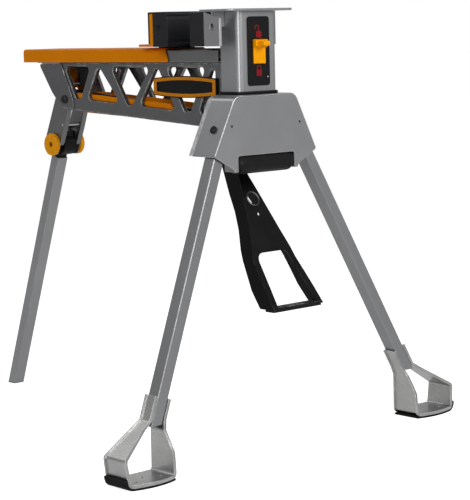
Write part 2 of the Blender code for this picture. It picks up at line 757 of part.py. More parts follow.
def end_doubler(side):
    """A second sheet welded over the rear end of each side plate."""
    face = (PLATE_HALF_Y + FIT) * side
    corners = [
        (PLATE_REAR_TOP_X + 0.002, PLATE_TOP_Z - 0.001),
        (PLATE_HEEL[0] + 0.001, PLATE_HEEL[1] + 0.001),
        (PLATE_TOE[0] + 0.001, PLATE_TOE[1] + 0.002),
        (DOUBLER_FRONT_FOOT, PLATE_KNEE[1] + 0.003),
        (DOUBLER_FRONT_FOOT, WINDOW_RAIL + PLATE_KNEE[1] - 0.004),
        (DOUBLER_FRONT_TOP, PLATE_TOP_Z - 0.001),
    ]
    outline = turned_ccw(filleted(corners, [0.005, 0.013, 0.016, 0.004, 0.008, 0.004]))
    word = "left" if side > 0 else "right"
    piece = prism(f"beam_end_doubler_{word}", outline, "Y", face, face + SHEET * side, "silver_paint")
    hole = (BRACKET_PIVOT[0], face + SHEET / 2 * side, BRACKET_PIVOT[1])
    drill(piece, hole, (0, 1, 0), BRACKET_BOLT + FIT, SHEET * 4)
    return piece


def top_beam():
    """The guide that the rail runs on: a slotted channel with turned-in lower flanges."""
    flange_edge = BEAM_HALF_Y - BEAM_FLANGE
    path = [
        (-flange_edge, BEAM_BOTTOM_Z),
        (-BEAM_HALF_Y, BEAM_BOTTOM_Z),
        (-BEAM_HALF_Y, BEAM_TOP_Z),
        (BEAM_HALF_Y, BEAM_TOP_Z),
        (BEAM_HALF_Y, BEAM_BOTTOM_Z),
        (flange_edge, BEAM_BOTTOM_Z),
    ]
    section = strip(filleted_path(path, BEND, 2), -SHEET)
    beam = prism("beam_top_channel", section, "X", BEAM_REAR, BEAM_FRONT, "silver_paint")
    slot = rectangle((BEAM_REAR - 0.01, -BEAM_SLOT_HALF_Y), (SLOT_FRONT, BEAM_SLOT_HALF_Y))
    slot_cutter = prism("beam_slot", slot, "Z", BEAM_TOP_Z - 0.01, BEAM_TOP_Z + 0.01, "steel")
    return cut(beam, slot_cutter)


def bottom_channel():
    """The lower chord between the side plates, which follows their lower edge and closes the rear end."""
    half = CHANNEL_HALF_Y
    inner = half - SHEET
    front_floor = plate_bottom(CHANNEL_FRONT) + CHANNEL_FRONT_RISE
    front_top = plate_bottom(CHANNEL_FRONT) + CHANNEL_WALL
    rear_floor = PLATE_TOE[1] + 0.018
    knee_floor = plate_bottom(PLATE_KNEE[0]) - CHANNEL_KNEE_DROP
    rear_top = plate_bottom(PLATE_KNEE[0]) + CHANNEL_WALL
    side = [
        (CHANNEL_FRONT, front_floor),
        (CHANNEL_FRONT, front_top - 0.012),
        (CHANNEL_FRONT - 0.012, front_top),
        (PLATE_KNEE[0], rear_top),
        (CHANNEL_REAR + 0.006, rear_top),
        (CHANNEL_REAR, rear_floor + 0.004),
        (PLATE_TOE[0] + 0.030, rear_floor - 0.010),
        (PLATE_KNEE[0], knee_floor),
    ]
    channel = prism("beam_bottom_channel", turned_ccw(side), "Y", -half, half, "orange_paint")
    hollow = [
        (CHANNEL_FRONT + 0.02, front_floor + SHEET),
        (CHANNEL_FRONT + 0.02, rear_top + 0.02),
        (BRACKET_PIVOT[0] + 0.016, rear_top + 0.02),
        (BRACKET_PIVOT[0] + 0.016, rear_floor + SHEET),
        (PLATE_TOE[0] + 0.032, rear_floor - 0.010 + SHEET),
        (PLATE_KNEE[0], knee_floor + SHEET),
    ]
    cut(channel, prism("channel_hollow", turned_ccw(hollow), "Y", -inner, inner, "steel"))
    front_of_bracket = BRACKET_PIVOT[0] + 0.0155
    passage = rectangle((CHANNEL_REAR - 0.02, rear_floor - 0.02), (front_of_bracket + 0.002, rear_top + 0.02))
    cut(channel, prism("channel_passage", passage, "Y", -half + SHEET, half - SHEET, "steel"))
    bolt = (BRACKET_PIVOT[0], 0.0, BRACKET_PIVOT[1])
    return drill(channel, bolt, (0, 1, 0), BRACKET_BOLT + FIT, 4 * half)


def end_wall():
    """The sloping tray that closes the rear of the beam, with two legs that reach down beside the dog."""
    half = PLATE_INNER_Y - FIT
    top = Vector(END_WALL_TOP)
    foot = Vector(END_WALL_FOOT)
    down = (foot - top).normalized()
    out = Vector((down.y, -down.x))
    leg = foot + down * ((END_WALL_LEG_Z - foot.y) / down.y)
    outline = strip([leg, top], -SHEET)
    tray = prism("beam_end_wall", turned_ccw(outline), "Y", -half, half, "orange_paint")
    gap_half = DOG_HALF_Y + 0.002
    gap = rectangle((leg.x - 0.03, -gap_half), (leg.x + 0.03, gap_half))
    cut(tray, prism("end_wall_gap", gap, "Z", END_WALL_LEG_Z - 0.01, foot.y, "steel"))
    rim = out * END_WALL_FLANGE
    flange = [top, foot, foot - rim, top - rim + down * (END_WALL_FLANGE - SHEET)]
    for side in (-1, 1):
        low, high = sorted((side * half, side * (half - SHEET)))
        helper = prism(f"end_wall_flange_{side}", turned_ccw(flange), "Y", low, high, "steel")
        cut(tray, helper, "UNION")
    return tray


def badge():
    """A bare plate with a raised rim on a black backing, on one side of the beam only."""
    back_face = -(PLATE_HALF_Y + FIT)
    back_front = back_face - BADGE_BACK
    plate_front = back_front - FIT - BADGE_FACE
    backing_outline = rectangle((BADGE_REAR, BADGE_BOTTOM_Z + 0.004), (BADGE_BACK_FRONT, BADGE_TOP_Z - 0.004))
    backing = filleted(backing_outline, 0.004)
    prism("badge_backing", turned_ccw(backing), "Y", back_front, back_face, "black_plastic")
    outline = turned_ccw(bowed(BADGE_REAR, BADGE_FRONT, BADGE_BOTTOM_Z, BADGE_TOP_Z, BADGE_CROWN))
    plate = prism("badge_plate", outline, "Y", plate_front, back_front - FIT, "black_plastic")
    field = offset_outline(outline, -BADGE_RIM)
    recess = prism("badge_field", field, "Y", plate_front - 0.01, plate_front + BADGE_FACE / 2, "steel")
    return cut(plate, recess)


def bowed(left, right, low, high, crown):
    """A rectangle whose upper and lower edges bow outwards."""
    count = 8
    points = []
    for index in range(count + 1):
        share = index / count
        points.append(Vector((left + (right - left) * share, low + crown * (1 - 4 * share * (1 - share)))))
    for index in range(count + 1):
        share = 1 - index / count
        points.append(Vector((left + (right - left) * share, high - crown * (1 - 4 * share * (1 - share)))))
    return points


# Column, fixed jaw and lock rocker


def column_tube():
    corners = rectangle((-COLUMN_HALF_X, -COLUMN_HALF_Y), (COLUMN_HALF_X, COLUMN_HALF_Y))
    outer = filleted(corners, COLUMN_CORNER, 4)
    inner_x = COLUMN_HALF_X - SHEET
    inner_y = COLUMN_HALF_Y - SHEET
    inner = filleted(rectangle((-inner_x, -inner_y), (inner_x, inner_y)), COLUMN_CORNER - SHEET, 4)
    column = prism("column", outer, "Z", COLUMN_FOOT_Z, COLUMN_TOP_Z, "silver_paint", holes=[inner])
    mouth = rectangle((-BAR_HALF_Y - 0.004, LOCK_ROD_Z - 0.006), (BAR_HALF_Y + 0.004, BAR_TOP_Z + 0.004))
    cut(column, prism("column_bar_mouth", mouth, "X", -COLUMN_HALF_X - 0.01, -COLUMN_HALF_X + 0.01, "steel"))
    port_half = ROCKER_HALF_Y + ROCKER_GAP
    port = rectangle((-port_half, ROCKER_BOTTOM_Z - 0.012), (port_half, ROCKER_TOP_Z + 0.002))
    front = COLUMN_HALF_X
    return cut(column, prism("column_rocker_port", port, "X", front - 0.01, front + 0.01, "steel"))


def collar():
    inner_x = COLUMN_HALF_X + FIT
    inner_y = COLUMN_HALF_Y + FIT
    inner = filleted(rectangle((-inner_x, -inner_y), (inner_x, inner_y)), COLUMN_CORNER + FIT, 4)
    outer = offset_outline(turned_ccw(inner), COLLAR_WIDTH)
    top = COLLAR_Z + COLLAR_HEIGHT
    ring = prism("column_collar", outer, "Z", COLLAR_Z, top, "black_plastic", holes=[inner])
    soften(ring, 0.0015, 2)
    rear = inner_x + COLLAR_WIDTH
    gap = rectangle((-rear - 0.01, -PLATE_HALF_Y - 0.001), (-inner_x + FIT / 2, PLATE_HALF_Y + 0.001))
    return cut(ring, prism("collar_beam_gap", gap, "Z", COLLAR_Z - 0.01, top + 0.01, "steel"))


def top_plate():
    corners = rectangle((-TOP_PLATE_REAR, -JAW_HALF_Y), (TOP_PLATE_FRONT, JAW_HALF_Y))
    outline = filleted(corners, [0.003, TOP_PLATE_CORNER, TOP_PLATE_CORNER, 0.003], 6)
    plate = prism("top_plate", outline, "Z", TOP_PLATE_Z, TOP_Z, "silver_paint")
    return soften(plate, 0.001, 1)


def fixed_jaw_bracket():
    """A bent sheet behind the fixed pad, with a long wing beside the column and a short one opposite."""
    lip_y = JAW_HALF_Y - WING_LIP
    path = [
        (WING_FRONT, -lip_y),
        (WING_FRONT, -JAW_HALF_Y),
        (JAW_BACK, -JAW_HALF_Y),
        (JAW_BACK, JAW_HALF_Y),
        (WING_FRONT_LEFT, JAW_HALF_Y),
    ]
    section = strip(filleted_path(path, BEND), -JAW_SHEET)
    bracket = prism("fixed_jaw_bracket", section, "Z", JAW_BOTTOM_Z, TOP_PLATE_Z - FIT, "silver_paint")
    fall = [
        (JAW_BACK + BEND, TOP_PLATE_Z),
        (WING_FRONT - BEND, TOP_PLATE_Z - WING_TOP_FALL),
        (WING_FRONT + BEND, TOP_PLATE_Z - WING_TOP_FALL),
        (WING_FRONT + BEND, TOP_PLATE_Z + BEND),
        (JAW_BACK + BEND, TOP_PLATE_Z + BEND),
    ]
    outline = turned_ccw([Vector(point) for point in fall])
    cut(bracket, prism("wing_top", outline, "Y", -JAW_HALF_Y - BEND, -lip_y + BEND, "steel"))
    hole = circle((WING_HOLE_X, WING_HOLE_Z), WING_HOLE[0], 14, WING_HOLE[1] / WING_HOLE[0])
    return cut(bracket, prism("wing_hole", hole, "Y", -JAW_HALF_Y - 0.01, -lip_y, "steel"))


def gusset(side):
    """A corner brace under the top plate, between the column and the wing."""
    near = COLUMN_HALF_Y + FIT
    far = JAW_HALF_Y - JAW_SHEET - FIT
    top = TOP_PLATE_Z - FIT
    outline = [
        (near, top),
        (near, top - GUSSET_DROP),
        (near + 0.006, top - GUSSET_DROP),
        (far, top - 0.006),
        (far, top),
    ]
    placed = turned_ccw([Vector((side * y, z)) for y, z in outline])
    word = "left" if side > 0 else "right"
    rear = -GUSSET_REACH / 2
    return prism(f"column_gusset_{word}", placed, "X", rear, rear + 0.004, "silver_paint")


def jaw_pad(name, back, thickness, low, high, facing, holder, hood=()):
    """A pad with two grooves across its gripping face, and a hood if it hangs over its bracket."""
    face = back + facing * thickness
    groove = facing * PAD_GROOVE
    middle_low = low + PAD_GROOVE_EDGE
    middle_high = high - PAD_GROOVE_EDGE
    half = PAD_GROOVE
    points = [
        (back, low),
        (face - groove, low),
        (face, low + PAD_GROOVE),
        (face, middle_low - half),
        (face - groove, middle_low),
        (face, middle_low + half),
        (face, middle_high - half),
        (face - groove, middle_high),
        (face, middle_high + half),
        (face, high - PAD_GROOVE),
        (face - groove, high),
    ]
    points += list(hood) or [(back, high)]
    outline = turned_ccw([Vector(point) for point in points])
    return prism(name, outline, "Y", -JAW_HALF_Y, JAW_HALF_Y, "black_plastic", holder)


def hood_outline():
    """The moving pad's hood, which hangs over the top of its bracket and down the back."""
    inner = MOVING_JAW_BACK - JAW_FLANGE - FIT
    rear = inner - HOOD_BACK
    foot = JAW_FOOT_Z + JAW_FOOT + FIT
    return [
        (rear, MOVING_PAD_TOP),
        (rear, foot),
        (inner, foot),
        (inner, MOVING_PAD_TOP - HOOD_SKIN),
        (MOVING_PAD_BACK, MOVING_PAD_TOP - HOOD_SKIN),
    ]


def bezel():
    back = COLUMN_HALF_X + FIT
    corners = rectangle((-BEZEL_HALF_Y, BEZEL_BOTTOM_Z), (BEZEL_HALF_Y, BEZEL_TOP_Z))
    outline = filleted(corners, BEZEL_CORNER, 4)
    gap = ROCKER_GAP
    gap_half = ROCKER_HALF_Y + gap
    opening = rectangle((-gap_half, ROCKER_BOTTOM_Z - gap), (gap_half, ROCKER_TOP_Z + gap))
    return prism("lock_bezel", outline, "X", back, back + BEZEL_THICK, "black_plastic", holes=[opening])


def rocker():
    """A hooded rocker: a lip and a finger nub stand out above its flat lower face."""
    skin = COLUMN_HALF_X + FIT + BEZEL_THICK
    low, high = ROCKER_BOTTOM_Z, ROCKER_TOP_Z
    tail = COLUMN_HALF_X - ROCKER_TAIL
    side = [
        (tail, ROCKER_PIVOT.z - ROCKER_ARM),
        (tail + 0.002, ROCKER_PIVOT.z - ROCKER_ARM),
        (tail + 0.002, low + 0.006),
        (skin + 0.001, low + 0.006),
        (skin + ROCKER_PROUD, low + 0.001),
        (skin + ROCKER_PROUD, ROCKER_STEP_Z - 0.003),
        (skin + ROCKER_LIP, ROCKER_STEP_Z + 0.001),
        (skin + ROCKER_LIP, high - 0.001),
        (skin + 0.001, high),
        (tail, high - 0.006),
    ]
    outline = turned_ccw([Vector(point) for point in side])
    half = ROCKER_BODY_HALF_Y
    body = prism("lock_rocker", outline, "Y", -half, half, "orange_plastic", "rocker_axis")
    face = [
        (skin + 0.0003, low),
        (skin + ROCKER_PROUD, low),
        (skin + ROCKER_PROUD, ROCKER_STEP_Z - 0.003),
        (skin + ROCKER_LIP, ROCKER_STEP_Z + 0.001),
        (skin + ROCKER_LIP, high - 0.001),
        (skin + 0.0003, high),
    ]
    outline = turned_ccw([Vector(point) for point in face])
    half = ROCKER_HALF_Y
    cut(body, prism("rocker_face", outline, "Y", -half, half, "steel", "rocker_axis"), "UNION")
    nub_z = ROCKER_TOP_Z - 0.0085
    nub_low = (skin + ROCKER_LIP - 0.002, nub_z - ROCKER_NUB_HALF_Z)
    nub_high = (skin + ROCKER_NUB, nub_z + ROCKER_NUB_HALF_Z)
    nub = filleted(rectangle(nub_low, nub_high), [0, 0.003, 0.003, 0])
    helper = prism("rocker_nub", nub, "Y", -ROCKER_NUB_HALF_Y, ROCKER_NUB_HALF_Y, "steel", "rocker_axis")
    return cut(body, helper, "UNION")


# Sliding jaw


def slide_rail():
    path = [
        (-RAIL_HALF_Y, RAIL_BOTTOM_Z),
        (-RAIL_HALF_Y, RAIL_TOP_Z),
        (RAIL_HALF_Y, RAIL_TOP_Z),
        (RAIL_HALF_Y, RAIL_BOTTOM_Z),
    ]
    section = strip(filleted_path(path, BEND + SHEET), -SHEET)
    rail = prism("slide_rail", section, "X", RAIL_REAR, RAIL_FRONT, "orange_paint", "jaw_slide")
    height = RAIL_TOP_Z - RAIL_BOTTOM_Z
    wedge = [
        (RAIL_FRONT - RAIL_RAKE, RAIL_TOP_Z + 0.004),
        (RAIL_FRONT + RAIL_RAKE * 0.05, RAIL_BOTTOM_Z + height * 0.1),
        (RAIL_FRONT + RAIL_RAKE * 0.05, RAIL_BOTTOM_Z - 0.01),
        (RAIL_FRONT + 0.02, RAIL_BOTTOM_Z - 0.01),
        (RAIL_FRONT + 0.02, RAIL_TOP_Z + 0.004),
    ]
    outline = turned_ccw([Vector(point) for point in wedge])
    half = RAIL_HALF_Y + 0.01
    return cut(rail, prism("rail_rake", outline, "Y", -half, half, "steel", "jaw_slide"))


def moving_jaw_bracket():
    """The upright behind the moving pad, with flanges turned back, on a foot plate."""
    back = MOVING_JAW_BACK - JAW_FLANGE
    path = [
        (back, -JAW_HALF_Y),
        (MOVING_JAW_FRONT, -JAW_HALF_Y),
        (MOVING_JAW_FRONT, JAW_HALF_Y),
        (back, JAW_HALF_Y),
    ]
    section = strip(filleted_path(path, BEND), JAW_SHEET)
    top = MOVING_PAD_TOP - HOOD_SKIN - FIT
    bracket = prism("moving_jaw_bracket", section, "Z", JAW_FOOT_Z, top, "orange_paint", "jaw_slide")
    foot = filleted(
        rectangle(
            (MOVING_JAW_FRONT - 0.001 - JAW_FOOT_REACH - 0.008, -JAW_FOOT_HALF_Y),
            (MOVING_JAW_FRONT - 0.001, JAW_FOOT_HALF_Y),
        ),
        [0.006, 0, 0, 0.006],
    )
    helper = prism("jaw_foot", foot, "Z", JAW_FOOT_Z, JAW_FOOT_Z + JAW_FOOT, "steel", "jaw_slide")
    return cut(bracket, helper, "UNION")


def jaw_spacer():
    rear = MOVING_JAW_BACK - JAW_FOOT_REACH + 0.012
    outline = filleted(rectangle((rear, -0.034), (MOVING_JAW_BACK - 0.004, 0.034)), 0.004)
    return prism("jaw_spacer", outline, "Z", RAIL_TOP_Z + FIT, JAW_FOOT_Z - FIT, "black_plastic", "jaw_slide")


def jaw_screws():
    """Two screws hold the jaw's foot down on the rail."""
    x = MOVING_JAW_BACK - JAW_FOOT_REACH / 2
    for word, side in (("left", 1), ("right", -1)):
        centre = (x, side * 0.052, JAW_FOOT_Z + JAW_FOOT + FIT)
        radius = JAW_BOLT_RADIUS
        head = JAW_BOLT_HEAD
        profile = [(0.0, 0.0), (0.0, radius), (head * 0.5, radius), (head, radius * 0.6), (head, 0.0)]
        turned(f"jaw_screw_{word}", profile, centre, (0, 0, 1), "steel", "jaw_slide")


def draw_bar():
    """The flat bar that the dogs grip, with two blocks that hang it from the rail through the beam's slot."""
    section = rectangle((-BAR_HALF_Y, BAR_BOTTOM_Z), (BAR_HALF_Y, BAR_TOP_Z))
    bar = prism("draw_bar", section, "X", BAR_REAR, BAR_FRONT, "steel", "jaw_slide")
    high = RAIL_TOP_Z - SHEET - FIT
    for front in (HANGER_FRONT, BAR_REAR + HANGER_LENGTH):
        outline = rectangle((front - HANGER_LENGTH, -HANGER_HALF_Y), (front, HANGER_HALF_Y))
        name = f"bar_hanger_{len(bar.modifiers)}"
        cut(bar, prism(name, outline, "Z", BAR_TOP_Z - 0.001, high, "steel", "jaw_slide"), "UNION")
    return bar


# Drive and lock dogs


def dog_outline(foot_z, foot_half, window):
    """A plate that wraps round the bar, open at the top between two lips."""
    bar = BAR_HALF_Y + RUNNING
    low = BAR_BOTTOM_Z - window
    high = BAR_TOP_Z + window
    gap = HANGER_HALF_Y + 0.002
    right = [
        (foot_half, foot_z),
        (foot_half, foot_z + 0.030),
        (DOG_HALF_Y, foot_z + 0.044),
        (DOG_HALF_Y, DOG_TOP_Z),
        (gap, DOG_TOP_Z),
        (gap, high),
        (bar, high),
        (bar, low),
    ]
    left = [(-y, z) for y, z in reversed(right)]
    return turned_ccw([Vector(point) for point in right + left])


def drive_dog():
    outline = dog_outline(DRIVE_DOG_FOOT_Z, 0.012, RUNNING)
    half = DOG_SHEET / 2
    return prism("drive_dog", outline, "X", DRIVE_DOG_X - half, DRIVE_DOG_X + half, "steel", "drive_slide")


def lock_dog():
    outline = dog_outline(LOCK_DOG_FOOT_Z, 0.012, LOCK_WINDOW)
    half = DOG_SHEET / 2
    dog = prism("lock_dog", outline, "X", LOCK_DOG_X - half, LOCK_DOG_X + half, "steel", "lock_dog_axis")
    centre = (LOCK_DOG_X, 0.0, LOCK_PIVOT_Z)
    return drill(dog, centre, (0, 1, 0), LOCK_PIN + FIT, 0.04, "lock_dog_axis", 12)


def lock_dog_pin():
    half = PLATE_INNER_Y - FIT
    profile = [(-half, 0.0), (-half, LOCK_PIN), (half, LOCK_PIN), (half, 0.0)]
    return turned("lock_dog_pin", profile, (LOCK_DOG_X, 0.0, LOCK_PIVOT_Z), (0, 1, 0), "steel", count=12)


def lock_rod():
    rear = LOCK_DOG_X + DOG_SHEET / 2 + LOCK_ROD_GAP
    front = COLUMN_HALF_X - ROCKER_TAIL - LOCK_ROD_GAP
    profile = [(0.0, 0.0), (0.0, LOCK_ROD_RADIUS), (front - rear, LOCK_ROD_RADIUS), (front - rear, 0.0)]
    return turned("lock_rod", profile, (rear, 0.0, LOCK_ROD_Z), (1, 0, 0), "steel", "lock_rod_slide", 8)


def pull_rod():
    """Runs from the pedal's arm to the drive dog, and ends in a slotted eye."""
    rear = Vector((DRIVE_DOG_X + DOG_SHEET / 2 + 2 * FIT, 0.0, ROD_REAR_Z))
    front = Vector((PEDAL_PIVOT_X - ROD_EYE[0] / 2 + 0.002, 0.0, ROD_FRONT_Z))
    bm = bmesh.new()
    length = (front - rear).length
    profile = [(0.0, 0.0), (0.0, ROD_RADIUS), (length, ROD_RADIUS), (length, 0.0)]
    add_turned(bm, profile, rear, front - rear, 10)
    rod = finish("pull_rod", bm, "steel", "drive_slide", smooth=True)
    low = (PEDAL_PIVOT_X - ROD_EYE[0] / 2, ROD_FRONT_Z - ROD_EYE[1] / 2 - 0.003)
    high = (PEDAL_PIVOT_X + ROD_EYE[0] / 2, ROD_FRONT_Z + ROD_EYE[1] / 2 - 0.003)
    eye = filleted(rectangle(low, high), 0.004)
    half = ROD_EYE_THICK / 2
    cut(rod, prism("rod_eye", eye, "Y", -half, half, "steel", "drive_slide"), "UNION")
    slot_half = PEDAL_LINK_PIN + 0.0018
    slot = filleted(
        rectangle(
            (PEDAL_PIVOT_X - slot_half, ROD_FRONT_Z - 0.014),
            (PEDAL_PIVOT_X + slot_half, ROD_FRONT_Z + slot_half),
        ),
        slot_half * 0.9,
    )
    return cut(rod, prism("rod_eye_slot", slot, "Y", -0.01, 0.01, "steel", "drive_slide"))


# Housing, roller and front legs


def housing_outline():
    """Half outline of the housing's front, from the top middle down to the roller notch."""
    right = [
        (HOUSING_TOP_HALF_Y, HOUSING_TOP_Z),
        (HOUSING_SKIRT_HALF_Y, HOUSING_SKIRT_Z),
        (APRON_HALF_Y, APRON_Z),
        (APRON_HALF_Y - 0.003, EAR_Z),
        (EAR_HALF_Y, EAR_Z),
        (EAR_HALF_Y, NOTCH_TOP_Z),
    ]
    radii = [HOUSING_CORNER, 0.004, 0.006, 0.0035, 0.0035, 0.004]
    left = [(-y, z) for y, z in reversed(right)]
    return turned_ccw(filleted(right + left, radii + radii[::-1]))


def housing_front_shell():
    """A pressed shell: a front wall, a top and two raked sides, with ears that carry the roller."""
    outline = housing_outline()
    bm = bmesh.new()
    edge = HOUSING_EDGE
    stages = (
        (HOUSING_SEAM, 0.0),
        (HOUSING_FRONT - edge, 0.0),
        (HOUSING_FRONT - edge * 0.3, -edge * 0.3),
        (HOUSING_FRONT, -edge),
    )
    loops = []
    for x, inset in stages:
        ring = offset_outline(outline, inset) if inset else outline
        loops.append([bm.verts.new(PLANES["X"](point, x)) for point in ring])
    for first, second in zip(loops, loops[1:]):
        join_loops(bm, first, second)
    bm.faces.new(loops[0])
    bm.faces.new(loops[-1])
    front = finish("housing_front_shell", bm, "silver_paint")
    slope = SIDE_SLOPE
    low_z = EAR_Z - 0.02
    shrink = SHEET / SIDE_COSINE
    top = HOUSING_TOP_Z - SHEET
    side_y = HOUSING_TOP_HALF_Y + slope * SHEET - shrink
    foot_y = HOUSING_TOP_HALF_Y + slope * (HOUSING_TOP_Z - low_z) - shrink
    ear_outer = EAR_HALF_Y + SHEET
    hollow = [
        (side_y, top),
        (foot_y, low_z),
        (ear_outer, low_z),
        (ear_outer, SHELF_Z),
        (-ear_outer, SHELF_Z),
        (-ear_outer, low_z),
        (-foot_y, low_z),
        (-side_y, top),
    ]
    radii = [HOUSING_CORNER - SHEET, 0, 0, 0, 0, 0, 0, HOUSING_CORNER - SHEET]
    cavity = turned_ccw(filleted(hollow, radii))
    cut(front, prism("housing_cavity", cavity, "X", HOUSING_SEAM - 0.02, HOUSING_FRONT - SHEET, "steel"))
    deep = rectangle((-ear_outer - 0.001, EAR_Z - 0.02), (ear_outer + 0.001, SHELF_Z + 0.0005))
    cut(front, prism("housing_ear_end", deep, "X", HOUSING_SEAM - 0.02, HOUSING_FRONT - EAR_DEPTH, "steel"))
    under = rectangle((-EAR_HALF_Y, EAR_Z - 0.03), (EAR_HALF_Y, SHELF_Z - SHEET))
    cut(front, prism("housing_roller_bay", under, "X", HOUSING_SEAM - 0.02, HOUSING_FRONT - SHEET, "steel"))
    port = filleted(
        rectangle((-COLUMN_HALF_X - 0.02, -COLUMN_HALF_Y - FIT), (COLUMN_HALF_X + FIT, COLUMN_HALF_Y + FIT)),
        [0, COLUMN_CORNER + FIT, COLUMN_CORNER + FIT, 0],
        4,
    )
    cut(front, prism("housing_column_port", port, "Z", HOUSING_TOP_Z - 0.02, HOUSING_TOP_Z + 0.02, "steel"))
    for side in (-1, 1):
        hole = (HOUSING_FRONT, side * HOUSING_HOLE_Y, HOUSING_HOLE_Z)
        drill(front, hole, (1, 0, 0), HOUSING_HOLE, 0.03, count=12)
        normal = Vector((0.0, side * LEG_NORMAL.y, LEG_NORMAL.z))
        bolt = Vector((LEG_PIVOT.x, side * LEG_PIVOT.y, LEG_PIVOT.z)) + normal * 0.018
        drill(front, bolt, normal, LEG_BOLT + FIT, 0.02, count=12)
    axle = (ROLLER_X, 0.0, ROLLER_Z)
    return drill(front, axle, (0, 1, 0), ROLLER_AXLE + FIT, 2 * EAR_HALF_Y + 0.012, count=12)


def rear_shell_outline(inset):
    """The rear frame's outline, with its outer edge moved inwards and the rest left where it is."""
    outer = [
        (HOUSING_TOP_HALF_Y - inset, HOUSING_TOP_Z - inset),
        (HOUSING_SKIRT_HALF_Y - inset / SIDE_COSINE, HOUSING_SKIRT_Z),
        (HOUSING_SKIRT_HALF_Y - REAR_SIDE, HOUSING_SKIRT_Z),
    ]
    swing_top = REAR_WINDOW_TOP_Z
    side_at_top = HOUSING_TOP_HALF_Y + SIDE_SLOPE * (HOUSING_TOP_Z - swing_top) - REAR_SIDE
    inner_y = COLUMN_HALF_Y + FIT + 0.006
    column_y = COLUMN_HALF_Y + FIT
    inner = [
        (side_at_top, swing_top),
        (inner_y, swing_top),
        (inner_y, REAR_TIE_Z - 0.004),
    ]
    lower = [(-y, z) for y, z in reversed(inner)]
    notch = [
        (-column_y, HOUSING_TOP_Z - inset),
        (-column_y, REAR_TIE_Z + 0.012),
        (column_y, REAR_TIE_Z + 0.012),
        (column_y, HOUSING_TOP_Z - inset),
    ]
    upper_left = [(-y, z) for y, z in reversed(outer)]
    points = outer + inner + lower + upper_left + notch
    radii = [HOUSING_CORNER, 0.001, 0.001, 0.008, 0.008, 0.001]
    radii += radii[::-1] + [0.001, 0.003, 0.003, 0.001]
    return turned_ccw(filleted(points, radii))


def housing_rear_shell():
    """The rear frame, open where the legs swing up beside the beam, with three pressed ridges on its edge."""
    front = HOUSING_SEAM - FIT
    pitch = (front - HOUSING_REAR) / REAR_RIDGES
    bm = bmesh.new()
    loops = []
    for ridge in range(REAR_RIDGES):
        start = HOUSING_REAR + pitch * ridge
        for share, inset in ((0.0, REAR_RIDGE), (0.25, 0.0), (0.75, 0.0), (1.0, REAR_RIDGE)):
            if share or not ridge:
                ring = rear_shell_outline(inset)
                loops.append([bm.verts.new(PLANES["X"](point, start + pitch * share)) for point in ring])
    for first, second in zip(loops, loops[1:]):
        join_loops(bm, first, second)
    bm.faces.new(loops[0])
    bm.faces.new(loops[-1])
    return finish("housing_rear_shell", bm, "silver_paint")


def roller():
    """A smooth roller with rounded ends, which carries the work, or rolls when the stand is dragged."""
    half = EAR_HALF_Y - 2 * FIT - 0.0005
    shoulder = half - ROLLER_END_ROUND
    groove = half - ROLLER_GROOVE_INSET
    right = [
        (groove - ROLLER_GROOVE, ROLLER_RADIUS),
        (groove, ROLLER_RADIUS - ROLLER_GROOVE),
        (groove + ROLLER_GROOVE, ROLLER_RADIUS),
    ]
    for step in range(ARC + 1):
        turn = math.pi / 2 * step / ARC
        fall = ROLLER_END_ROUND * (1 - math.cos(turn))
        right.append((shoulder + ROLLER_END_ROUND * math.sin(turn), ROLLER_RADIUS - fall))
    right.append((half, ROLLER_AXLE + FIT))
    profile = [(-along, radius) for along, radius in reversed(right)] + right
    bm = bmesh.new()
    add_turned(bm, profile + [profile[0]], (ROLLER_X, 0.0, ROLLER_Z), (0, 1, 0), ROUND)
    finish("roller", bm, "black_plastic", "roller_axis", smooth=True)
    length = 2 * (EAR_HALF_Y + SHEET + FIT)
    profile = bolt_profile(length, ROLLER_AXLE, ROLLER_AXLE * 1.5, 0.003)
    turned("roller_axle", profile, (ROLLER_X, 0.0, ROLLER_Z), (0, 1, 0), "steel", count=12)


def side_place(vector, side):
    return Vector((vector[0], side * vector[1], vector[2]))


def leg_tube(side, word):
    """A rectangular tube that leans forward and splays outwards, cut level at its lower end."""
    bm = bmesh.new()
    corners = rectangle((-LEG_DEPTH / 2, -LEG_WIDTH / 2), (LEG_DEPTH / 2, LEG_WIDTH / 2))
    outer = filleted(corners, LEG_CORNER, 2)
    bore = [
        Vector((x * (1 - 2 * TUBE_WALL / LEG_DEPTH), y * (1 - 2 * TUBE_WALL / LEG_WIDTH)))
        for x, y in outer
    ]
    rings = []
    for outline in (outer, bore):
        top = []
        foot = []
        for along, across in outline:
            line = LEG_PIVOT - LEG_FORWARD * along * math.copysign(1, -LEG_FORWARD.x) + LEG_NORMAL * across
            top.append(bm.verts.new(side_place(line - LEG_DIRECTION * LEG_HEAD, side)))
            reach = (line.z - LEG_END_Z) / -LEG_DIRECTION.z
            foot.append(bm.verts.new(side_place(line + LEG_DIRECTION * reach, side)))
        rings.append((top, foot))
    (outer_top, outer_foot), (bore_top, bore_foot) = rings
    join_loops(bm, outer_top, outer_foot)
    join_loops(bm, bore_foot, bore_top)
    join_loops(bm, bore_top, outer_top)
    join_loops(bm, outer_foot, bore_foot)
    holder = f"leg_axis_{word}"
    leg = finish(f"front_leg_{word}", bm, "silver_paint", holder)
    pivot = side_place(LEG_PIVOT, side)
    normal = side_place(LEG_NORMAL, side)
    return drill(leg, pivot, normal, LEG_BOLT + FIT, LEG_WIDTH * 1.6, holder, 12)


def leg_point(z):
    """The middle of the leg at a height."""
    return LEG_PIVOT + LEG_DIRECTION * ((LEG_PIVOT.z - z) / -LEG_DIRECTION.z)


